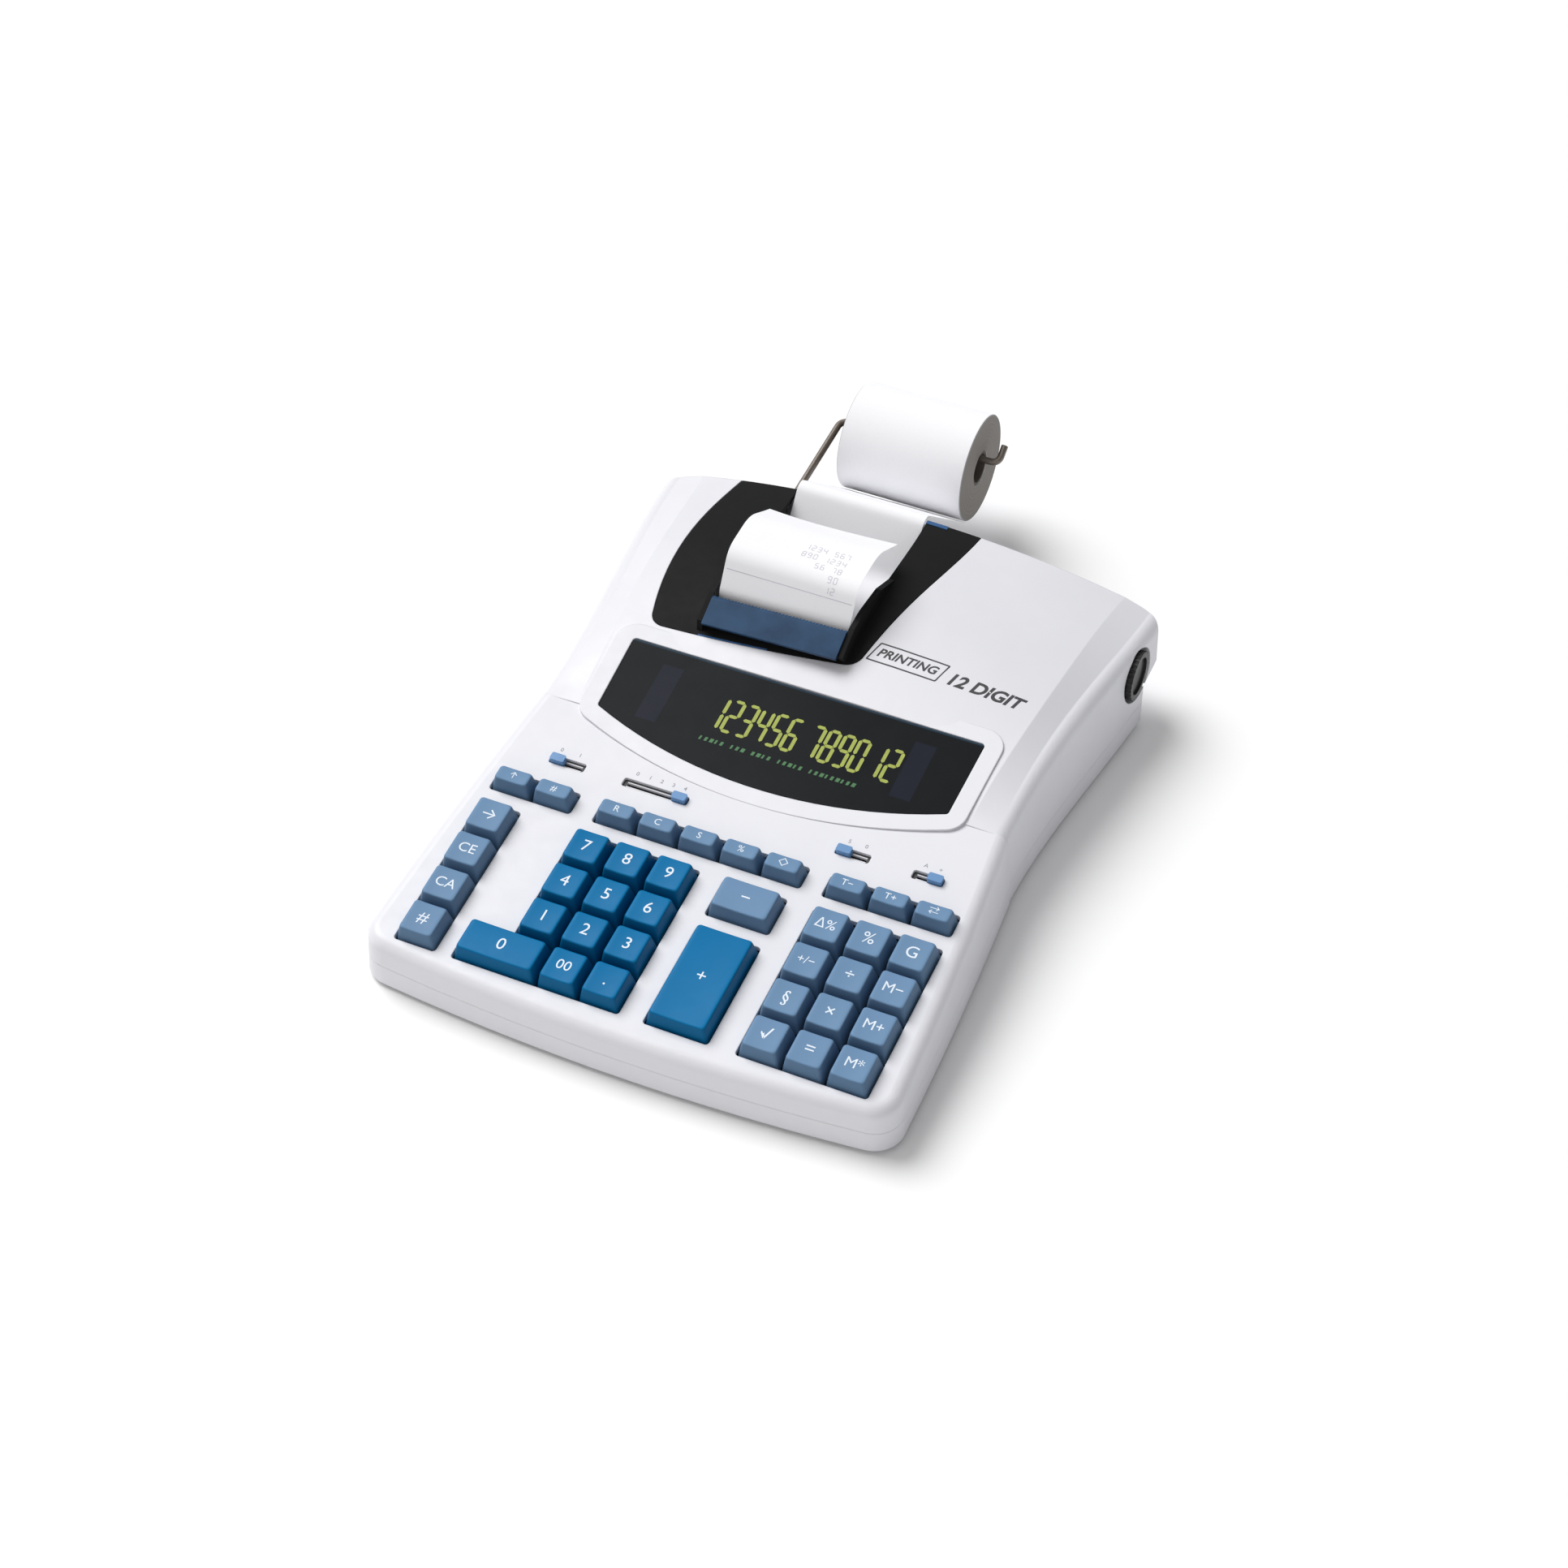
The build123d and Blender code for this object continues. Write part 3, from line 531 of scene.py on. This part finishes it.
def legend_size(node):
    """Height of a key's lettering: it depends on the key's depth and the number of signs."""
    low, high = deck.extent(node)
    count = len(LEGENDS[node])
    if count > 2:
        return TRIPLE_LEGEND
    if high.y - low.y < SMALL_KEY:
        return SMALL_LEGEND
    return SINGLE_LEGEND if count == 1 else DOUBLE_LEGEND


def build_keys():
    """Every key's cap with its printed legend in the dish."""
    for node in sorted(LEGENDS):
        middle, half = build_cap(node)
        mark = text_mesh(node + "_legend", LEGENDS[node], legend_size(node), INK)
        set_on(mark, deck, middle.x, middle.y, middle.z + INK / 2, lambda x: dish_drop(x, half))
        finish_piece(mark, node, legend_ink)


build_keys()


# ------------------------------------------------------------------ display
SEGMENTS = {
    "0": "abcdef", "1": "bc", "2": "abged", "3": "abgcd", "4": "fgbc", "5": "afgcd",
    "6": "afgedc", "7": "abc", "8": "abcdefg", "9": "abcdfg",
}
DIGIT_HEIGHT = 15.2 * MM
DIGIT_WIDTH = 4.1 * MM
DIGIT_STROKE = 1.5 * MM
DIGIT_PITCH = 6.35 * MM
DIGIT_SLANT = 0.01
DIGIT_GROUPS = (("123456", 0.0), ("7890", 6.5), ("12", 10.7))   # each with its start in pitches
DIGITS_LEFT = -30.5 * MM
DIGITS_UP = 21.2 * MM       # foot of the digits above the window's lowest point
MARKS_UP = 14.2 * MM
MARK_PITCH = 2.25 * MM
MARK_HEIGHT = 1.9 * MM
MARK_LEAN = 0.3 * MM
MARK_PLACES = 30
BLANK_PLACES = (5, 9, 14, 20)
OVER_WINDOW = 0.02 * MM     # gap between the window and what glows on it


def segment_bars(character, width, height, stroke):
    """The lit bars of one seven-segment figure as flat six-sided outlines from its lower left."""
    middle = height / 2
    ends = {
        "a": ((0, height), (width, height)),
        "b": ((width, middle), (width, height)),
        "c": ((width, 0), (width, middle)),
        "d": ((0, 0), (width, 0)),
        "e": ((0, 0), (0, middle)),
        "f": ((0, middle), (0, height)),
        "g": ((0, middle), (width, middle)),
    }
    bars = []
    for segment in SEGMENTS.get(character, ""):
        start, end = Vector(ends[segment][0]), Vector(ends[segment][1])
        along = (end - start).normalized() * stroke
        side = Vector((-along.y, along.x)) / 2
        start, end = start + along * 0.1, end - along * 0.1
        taper = along / 2
        bars.append([start, start + taper - side, end - taper - side, end, end - taper + side,
                     start + taper + side])
    return bars


def figures(words, pitch, width, height, stroke, slant, thickness):
    """A row of slanted seven-segment figures from the origin: points and closed bars."""
    points, faces = [], []
    for place, character in enumerate(words):
        for outline in segment_bars(character, width, height, stroke):
            base = len(points)
            count = len(outline)
            for level in (0.0, thickness):
                for spot in outline:
                    points.append(Vector((place * pitch + spot.x + spot.y * slant, spot.y, level)))
            faces.append(tuple(range(base + count - 1, base - 1, -1)))
            faces.append(tuple(range(base + count, base + 2 * count)))
            bridge(faces, base, base + count, count)
    return points, faces


def set_in_window(name, points, faces, up, material):
    """Lays lit shapes on the window, from the digits' left end and up from its lowest point."""
    low, high = panel.extent("display_window")
    piece = new_piece(name, points, faces, smooth=False)
    set_on(piece, panel, DIGITS_LEFT, low.y + up, high.z + OVER_WINDOW)
    finish_piece(piece, "display_window", material)


def display_digits():
    points, faces = [], []
    for words, start in DIGIT_GROUPS:
        spots, bars = figures(words, DIGIT_PITCH, DIGIT_WIDTH, DIGIT_HEIGHT, DIGIT_STROKE, DIGIT_SLANT, INK)
        base = len(points)
        points.extend(spot + Vector((start * DIGIT_PITCH, 0, 0)) for spot in spots)
        faces.extend(tuple(base + i for i in bar) for bar in bars)
    set_in_window("display_digits", points, faces, DIGITS_UP, lit_digits)


def display_marks():
    """The row of small green marks under the digits, in three widths, with blanks between words."""
    points, faces = [], []
    for place in range(MARK_PLACES):
        if place in BLANK_PLACES:
            continue
        width = (0.8 + 0.35 * (place % 3)) * MM
        left = place * MARK_PITCH
        outline = ((0, 0), (width, 0), (width + MARK_LEAN, MARK_HEIGHT), (MARK_LEAN, MARK_HEIGHT))
        base = len(points)
        for level in (0.0, INK):
            points.extend(Vector((left + x, y, level)) for x, y in outline)
        faces.append((base + 3, base + 2, base + 1, base))
        faces.append((base + 4, base + 5, base + 6, base + 7))
        bridge(faces, base, base + 4, 4)
    set_in_window("display_marks", points, faces, MARKS_UP, lit_marks)


display_digits()
display_marks()


# ------------------------------------------------------------------ paper
PAPER = 0.12 * MM           # thickness
STRIP_GAP = 0.4 * MM        # between the roll and the strip that leaves it
CORE_RADIUS = 6.5 * MM
CORE_WALL = 1.3 * MM
OVER_WALL = Vector((98.3, 60.0)) * MM
# the rest of the way (y, z): round the feed roller, up past the tear bar and over in a curl
PAPER_CORNERS = [
    (79.5, 36.1), (33.5, 36.1), (18.9, 46.5), (19.3, 60.0), (28.5, 75.5), (48.5, 77.0), (68.0, 66.0),
]
PAPER_BENDS = [5.0, 8.0, 13.0, 7.0, 9.0, 9.0, 20.0]
LOOSE_LENGTH = 58 * MM      # the printed end, past the tear bar
STRIP_COLUMNS = 16
PRINT = 0.03 * MM           # thickness of the printing on the paper
OVER_PAPER = PAPER + 0.01 * MM
PRINTED_ROWS = ["1234 567", "890 1234", "56 78", "90", "12"]
FIRST_ROW = 30 * MM         # from the printed end
ROW_PITCH = 4.4 * MM
CROSS_LINE = 49 * MM        # from the printed end
CROSS_LINE_WIDTH = 0.3 * MM
roll_low, roll_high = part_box("paper_roll")
roll_middle = (roll_low + roll_high) / 2
roll_radius = (roll_high.z - roll_low.z) / 2
half_width = (roll_high.x - roll_low.x) / 2


def rounded_path(corners, radii, step):
    """Points along straight runs joined by tangent arcs, no more than about a step apart."""
    path = [Vector(corners[0])]
    for before, corner, after, radius in zip(corners, corners[1:], corners[2:], radii):
        before, corner, after = Vector(before), Vector(corner), Vector(after)
        back = (before - corner).normalized()
        ahead = (after - corner).normalized()
        turn = math.pi - back.angle(ahead)
        reach = radius * math.tan(turn / 2)
        start, end = corner + back * reach, corner + ahead * reach
        centre = corner + (back + ahead).normalized() * radius / math.cos(turn / 2)
        count = max(3, int(radius * turn / step))
        for i in range(count + 1):
            share = i / count
            spot = start.lerp(end, share) - centre
            spot = (start - centre).slerp(end - centre, share, spot)
            path.append(centre + spot.normalized() * radius)
    path.append(Vector(corners[-1]))
    dense = [path[0]]
    for spot in path[1:]:
        first = dense[-1]
        pieces = max(1, round((spot - first).length / step))
        for i in range(1, pieces + 1):
            dense.append(first.lerp(spot, i / pieces))
    return dense


def leaving_point(radius):
    """Where the strip leaves the underside of the roll, tangent on its way to the rear wall."""
    centre = Vector((roll_middle.y, roll_middle.z))
    way = OVER_WALL - centre
    angle = math.atan2(way.y, way.x) + math.acos(radius / way.length)
    return centre + Vector((math.cos(angle), math.sin(angle))) * radius


strip_corners = [leaving_point(roll_radius + STRIP_GAP), OVER_WALL]
strip_corners += [Vector(spot) * MM for spot in PAPER_CORNERS]
strip_path = rounded_path(strip_corners, [bend * MM for bend in PAPER_BENDS], 1.2 * MM)
strip_runs = [(b - a).length for a, b in zip(strip_path, strip_path[1:])]
strip_length = sum(strip_runs)


def strip_point(from_end, across):
    """A point of the strip and its outward normal: metres from the printed end, -1 to 1 across."""
    left = strip_length - from_end
    index = 0
    while index < len(strip_runs) - 1 and left > strip_runs[index]:
        left -= strip_runs[index]
        index += 1
    run = strip_path[index + 1] - strip_path[index]
    spot = strip_path[index] + run.normalized() * left
    outward = Vector((-run.y, run.x)).normalized()
    # the loose end cups across its width and waves a little
    loose = max(0.0, 1 - from_end / LOOSE_LENGTH)
    wave = 0.8 * (across ** 2 - 0.4) + 0.3 * math.sin(across * 2 + from_end / (9 * MM))
    spot = spot + outward * (0.15 + wave * loose) * MM
    place = Vector((roll_middle.x + across * half_width, spot.x, spot.y))
    return place, Vector((0, outward.x, outward.y))


def build_strip():
    """The paper strip as a thin closed sheet."""
    columns = STRIP_COLUMNS
    rows = len(strip_path) - 1
    points, faces = [], []
    for side in (0.0, PAPER):
        for row in range(rows + 1):
            for column in range(columns + 1):
                spot, outward = strip_point(strip_length * (1 - row / rows), 2 * column / columns - 1)
                points.append(spot + outward * side)
    layer = (rows + 1) * (columns + 1)

    def at(row, column, side):
        return side * layer + row * (columns + 1) + column

    for row in range(rows):
        for column in range(columns):
            faces.append((at(row, column, 0), at(row, column + 1, 0), at(row + 1, column + 1, 0),
                          at(row + 1, column, 0)))
            faces.append((at(row + 1, column, 1), at(row + 1, column + 1, 1), at(row, column + 1, 1),
                          at(row, column, 1)))
        for column in (0, columns):
            faces.append((at(row, column, 0), at(row + 1, column, 0), at(row + 1, column, 1),
                          at(row, column, 1)))
    for column in range(columns):
        for row in (0, rows):
            faces.append((at(row, column, 0), at(row, column, 1), at(row, column + 1, 1),
                          at(row, column + 1, 0)))
    strip = new_piece("paper_strip", points, faces)
    strip.data.set_sharp_from_angle(angle=math.radians(50))
    finish_piece(strip, "paper_tape", finishes["paper"], "paper_tape")


def add_figure_rows(points, faces):
    """Faint rows of figures that follow the strip's curve, set to the right."""
    pitch, width, height, stroke = 2.5 * MM, 1.4 * MM, 2.6 * MM, 0.3 * MM
    right = 0.7
    for index, words in enumerate(PRINTED_ROWS):
        flat, bars = figures(words, pitch, width, height, stroke, 0.0, PRINT)
        base = len(points)
        foot = FIRST_ROW + index * ROW_PITCH
        for spot in flat:
            across = (spot.x - len(words) * pitch) / half_width + right
            place, outward = strip_point(foot - spot.y, across)
            points.append(place + outward * (OVER_PAPER + spot.z))
        faces.extend(tuple(base + i for i in bar) for bar in bars)


# a thin grey line across the strip, drawn in the print ink
def add_ruled_line(points, faces):
    """A thin line across the strip, above the tear bar."""
    reach = 0.96
    first = len(points)
    for column in range(STRIP_COLUMNS + 1):
        across = reach * (2 * column / STRIP_COLUMNS - 1)
        for along, level in ((0, 0), (CROSS_LINE_WIDTH, 0), (CROSS_LINE_WIDTH, PRINT), (0, PRINT)):
            place, outward = strip_point(CROSS_LINE + along, across)
            points.append(place + outward * (OVER_PAPER + level))
        if column:
            bridge(faces, first + 4 * column - 4, first + 4 * column, 4)
    last = first + 4 * STRIP_COLUMNS
    faces.append((first, first + 1, first + 2, first + 3))
    faces.append((last + 3, last + 2, last + 1, last))


def print_strip():
    points, faces = [], []
    add_figure_rows(points, faces)
    add_ruled_line(points, faces)
    printed = new_piece("printed_figures", points, faces, smooth=False)
    finish_piece(printed, "paper_tape", print_ink)


def turned(name, profile, centre, segments):
    """A ring turned about an X axis from a closed profile of (x, radius) points."""
    points, faces = [], []
    count = len(profile)
    for i in range(segments):
        angle = 2 * math.pi * i / segments
        across, up = math.cos(angle), math.sin(angle)
        for x, radius in profile:
            points.append(Vector((x, centre.y + radius * across, centre.z + radius * up)))
    for i in range(segments):
        bridge(faces, i * count, (i + 1) % segments * count, count)
    ring = new_piece(name, points, faces)
    ring.data.set_sharp_from_angle(angle=math.radians(30))
    return ring


def build_roll():
    """The wound paper with softened edges, and the cardboard tube a little inside its ends."""
    edge = 0.35 * MM
    inset = 0.4 * MM
    x0, x1 = roll_low.x, roll_high.x
    core = CORE_RADIUS + CORE_WALL
    profile = [
        (x0, core), (x0, roll_radius - edge), (x0 + edge, roll_radius),
        (x1 - edge, roll_radius), (x1, roll_radius - edge), (x1, core),
    ]
    roll = turned("paper_roll_wound", profile, roll_middle, 160)
    # this finish paints shade on the roll's ends
    layers = paper_finish("roll_paper_painted_end_shade", (roll_middle.y, roll_middle.z))
    finish_piece(roll, "paper_roll", layers, "paper_roll")
    profile = [
        (x0 + inset, CORE_RADIUS), (x0 + inset, core), (x1 - inset, core), (x1 - inset, CORE_RADIUS),
    ]
    tube = turned("roll_core_tube", profile, roll_middle, 96)
    finish_piece(tube, "paper_roll", cardboard)


build_strip()
print_strip()
build_roll()


# ------------------------------------------------------------------ roll wire
WIRE_RADIUS = 1.5 * MM
WIRE_ROOT_Z = 36.55 * MM    # where the wire leaves the rear wall
WIRE_BEND_Y = 161.0 * MM
WIRE_AXLE_Z = 43.7 * MM
WIRE_TIP = (7.0 * MM, 4.5 * MM)     # back and up from the end of the axle
WIRE_BENDS = [4.0 * MM, 3.2 * MM]


def build_wire():
    """The bent wire: out from the case, across through the roll's core and up at the tip."""
    low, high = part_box("roll_wire")
    left, right = low.x + WIRE_RADIUS, high.x - WIRE_RADIUS
    corners = [
        Vector((left, low.y, WIRE_ROOT_Z)),
        Vector((left, WIRE_BEND_Y, WIRE_AXLE_Z)),
        Vector((right, WIRE_BEND_Y, WIRE_AXLE_Z)),
        Vector((right, WIRE_BEND_Y + WIRE_TIP[0], WIRE_AXLE_Z + WIRE_TIP[1])),
    ]
    path = rounded_path(corners, WIRE_BENDS, 1.0 * MM)
    curve = bpy.data.curves.new("roll_wire_bar", "CURVE")
    curve.dimensions = "3D"
    curve.bevel_depth = WIRE_RADIUS
    curve.bevel_resolution = 6
    curve.use_fill_caps = True
    spline = curve.splines.new("POLY")
    spline.points.add(len(path) - 1)
    for point, spot in zip(spline.points, path):
        point.co = (*spot, 1.0)
    bar = solid_from_curve("roll_wire_bar", curve)
    smooth_by_angle(bar, 40)
    finish_piece(bar, "roll_wire", finishes["wire_steel"], "roll_wire")


build_wire()


# ------------------------------------------------------------------ switch slots and marks
# how far each slot's middle is from its knob at rest, and the slot's length, in mm
SLOT_SPANS = {
    "power_switch_knob": (4.1, 15.2), "decimal_switch_knob": (-10.3, 28.0),
    "rounding_switch_knob": (3.6, 14.2), "add_mode_switch_knob": (-3.0, 12.8),
}
# each mark's place from the knob at rest, in mm, and its sign
SWITCH_MARKS = {
    "power_switch_knob": [(-1.0, "0"), (7.0, "1")],
    "decimal_switch_knob": [(-20.5, "0"), (-15.0, "1"), (-10.0, "2"), (-5.0, "3"), (0.0, "4")],
    "rounding_switch_knob": [(0.0, "5"), (7.0, "0")],
    "add_mode_switch_knob": [(-6.0, "A"), (0.0, "+")],
}
LINING_DEPTH = 4.1 * MM
LINING_SLIT = 2.6 * MM
SLIT_SHORTER = 3.0 * MM     # the slit is this much shorter than the slot
MARK_SIZE = 2.6 * MM
MARK_GAP = 3.6 * MM         # above the knob's far side
deck_level = deck.extent("power_switch_knob")[1].z - 2.15 * MM
slot_floor = deck_level - 1.18 * MM


def flat_frame(name, outer, inner, thickness):
    """A flat frame about the origin between two rings that have the same number of points."""
    points, faces = [], []
    for ring, level in ((outer, 0.0), (outer, thickness), (inner, thickness), (inner, 0.0)):
        points.extend(Vector((x, y, level)) for x, y in ring)
    for side in range(4):
        bridge(faces, side * len(outer), (side + 1) % 4 * len(outer), len(outer))
    return new_piece(name, points, faces, smooth=False)


def slot_linings():
    """Black linings round the slits that the switch knobs slide in."""
    for node, (shift, length) in SLOT_SPANS.items():
        low, high = deck.extent(node)
        outer = rounded_ring(length * MM, LINING_DEPTH, 0.8 * MM)
        inner = rounded_ring(length * MM - SLIT_SHORTER, LINING_SLIT, 0.3 * MM)
        lining = flat_frame(node.replace("_knob", "_lining"), outer, inner, INK)
        set_on(lining, deck, (low.x + high.x) / 2 + shift * MM, (low.y + high.y) / 2, slot_floor)
        finish_piece(lining, "upper_housing", finishes["knob_black"])


def switch_marks():
    """Small grey signs behind the slots, one for each place of a knob."""
    for node, signs in SWITCH_MARKS.items():
        low, high = deck.extent(node)
        for index, (shift, sign) in enumerate(signs):
            mark = text_mesh(f"{node}_mark_{index}", sign, MARK_SIZE, INK)
            middle = (low.x + high.x) / 2 + shift * MM
            set_on(mark, deck, middle, high.y + MARK_GAP, deck_level + INK / 2)
            finish_piece(mark, "upper_housing", grey_ink)


slot_linings()
switch_marks()


# ------------------------------------------------------------------ label on the dome
LABEL_SLANT = 0.3
FRAME_SPOT = (32.6 * MM, 18.2 * MM)
KIND_SPOT = (66.0 * MM, 16.9 * MM)
FRAME_SPANS = 24            # spans of the frame's long sides, so that it follows the dome
ABOVE_DOME = 0.1            # a height above the whole case


def dome_label():
    """A generic label: a framed word and a second word, slanted and laid on the curved dome."""
    shell = frame["nodes"]["upper_housing"].data
    spots = [vertex.co for vertex in shell.vertices]
    surface = BVHTree.FromPolygons(spots, [tuple(polygon.vertices) for polygon in shell.polygons])
    outer = cap_ring(30 * MM, 9.6 * MM, 0.6 * MM, FRAME_SPANS)
    inner = cap_ring(28.8 * MM, 8.4 * MM, 0.3 * MM, FRAME_SPANS)
    pieces = [
        (flat_frame("label_frame", outer, inner, INK), FRAME_SPOT),
        (text_mesh("label_word", "PRINTING", 5.6 * MM, INK, 0.14 * MM), FRAME_SPOT),
        (text_mesh("label_kind", "12 DIGIT", 8.2 * MM, INK, 0.26 * MM), KIND_SPOT),
    ]
    for piece, (x, y) in pieces:
        for vertex in piece.data.vertices:
            above = Vector((x + vertex.co.x + LABEL_SLANT * vertex.co.y, y + vertex.co.y, ABOVE_DOME))
            hit = surface.ray_cast(above, Vector((0, 0, -1)))[0]
            vertex.co = hit + Vector((0, 0, vertex.co.z + INK / 2))
        piece.data.update()
        finish_piece(piece, "upper_housing", label_ink)


dome_label()


# ------------------------------------------------------------------ blue strips on the cover's rim: the tear bar's lip with a painted reflection, and a painted glint
def rim_spots(low_x, high_x, low_y, high_y):
    """Top points of the cover's rim within a range of x and y in mm, from left to right."""
    same_place = 0.1 * MM
    tops = {}
    for vertex in frame["nodes"]["printer_cover"].data.vertices:
        spot = vertex.co
        if low_x * MM < spot.x < high_x * MM and low_y * MM < spot.y < high_y * MM:
            place = round(spot.x / same_place)
            if place not in tops or spot.z > tops[place].z:
                tops[place] = spot.copy()
    return [tops[place] for place in sorted(tops)]


def blue_rim(name, spots, outward, inward, drop):
    """A thin blue strip along part of the cover's rim: at the front the tear bar's lip with a painted
    reflection, at the rear a painted glint; outward is 1 to the rear, -1 to the front.
    """
    proud = 0.15 * MM
    points, faces = [], []
    for spot in spots:
        for along, up in ((proud, proud), (proud, -drop), (-inward, -drop), (-inward, proud)):
            points.append(spot + Vector((0, outward * along, up)))
    for i in range(len(spots) - 1):
        bridge(faces, 4 * i, 4 * i + 4, 4)
    last = len(points) - 4
    faces.append((0, 1, 2, 3))
    faces.append((last + 3, last + 2, last + 1, last))
    lip_and_glint_piece = new_piece(name, points, faces, smooth=False)
    finish_piece(lip_and_glint_piece, "printer_cover", lip_and_glint_blue)


# the front strip is the tear bar's blue lip with a painted reflection; the rear strip is a painted glint
blue_rim("front_lip_reflection", rim_spots(-53, -22, 0, 4.6), -1, 0.5 * MM, 1.0 * MM)
blue_rim("rear_rim_glint", rim_spots(7, 17, 98, 99), 1, 1.8 * MM, 0.8 * MM)


# ------------------------------------------------------------------ stage, light and camera
def lay_floor():
    bpy.ops.mesh.primitive_plane_add(size=8, location=(0, 0, 0))
    floor = bpy.context.object
    floor.name = "floor"
    floor.data.materials.append(Finish("floor_white", colour(250, 250, 250), 0.8).material)


def light_room():
    """Soft, nearly white light from every side."""
    world = bpy.data.worlds.new("studio")
    bpy.context.scene.world = world
    world.use_nodes = True
    background = world.node_tree.nodes["Background"]
    background.inputs["Color"].default_value = (0.97, 0.98, 1.0, 1.0)
    background.inputs["Strength"].default_value = 0.34


def add_sun(name, energy, spread, source, tint):
    """A soft distant light that comes from the direction of source, spread over so many degrees."""
    data = bpy.data.lights.new(name, "SUN")
    data.energy = energy
    data.angle = math.radians(spread)
    data.color = tint
    lamp = bpy.data.objects.new(name, data)
    lamp.rotation_euler = Vector(source).to_track_quat("Z", "Y").to_euler()
    bpy.context.scene.collection.objects.link(lamp)


def set_camera():
    """The camera at the photographer's place, aimed at the middle of the deck."""
    data = bpy.data.cameras.new("camera")
    data.sensor_width = 36
    data.lens = 78.26
    camera = bpy.data.objects.new("camera", data)
    camera.location = (0.4017, -0.9164, 0.9580)
    aim = Vector((0.0165, -0.0654, 0.0538))
    camera.rotation_euler = (aim - camera.location).to_track_quat("-Z", "Y").to_euler()
    bpy.context.scene.collection.objects.link(camera)
    bpy.context.scene.camera = camera
    bpy.context.scene.view_settings.view_transform = "Standard"


lay_floor()
light_room()
add_sun("window_light", 2.55, 38, (-0.56, 0.2, 0.8), (1.0, 1.0, 1.0))
add_sun("front_fill", 0.5, 90, (-0.2, -0.8, 0.55), (1.0, 0.96, 0.91))
set_camera()
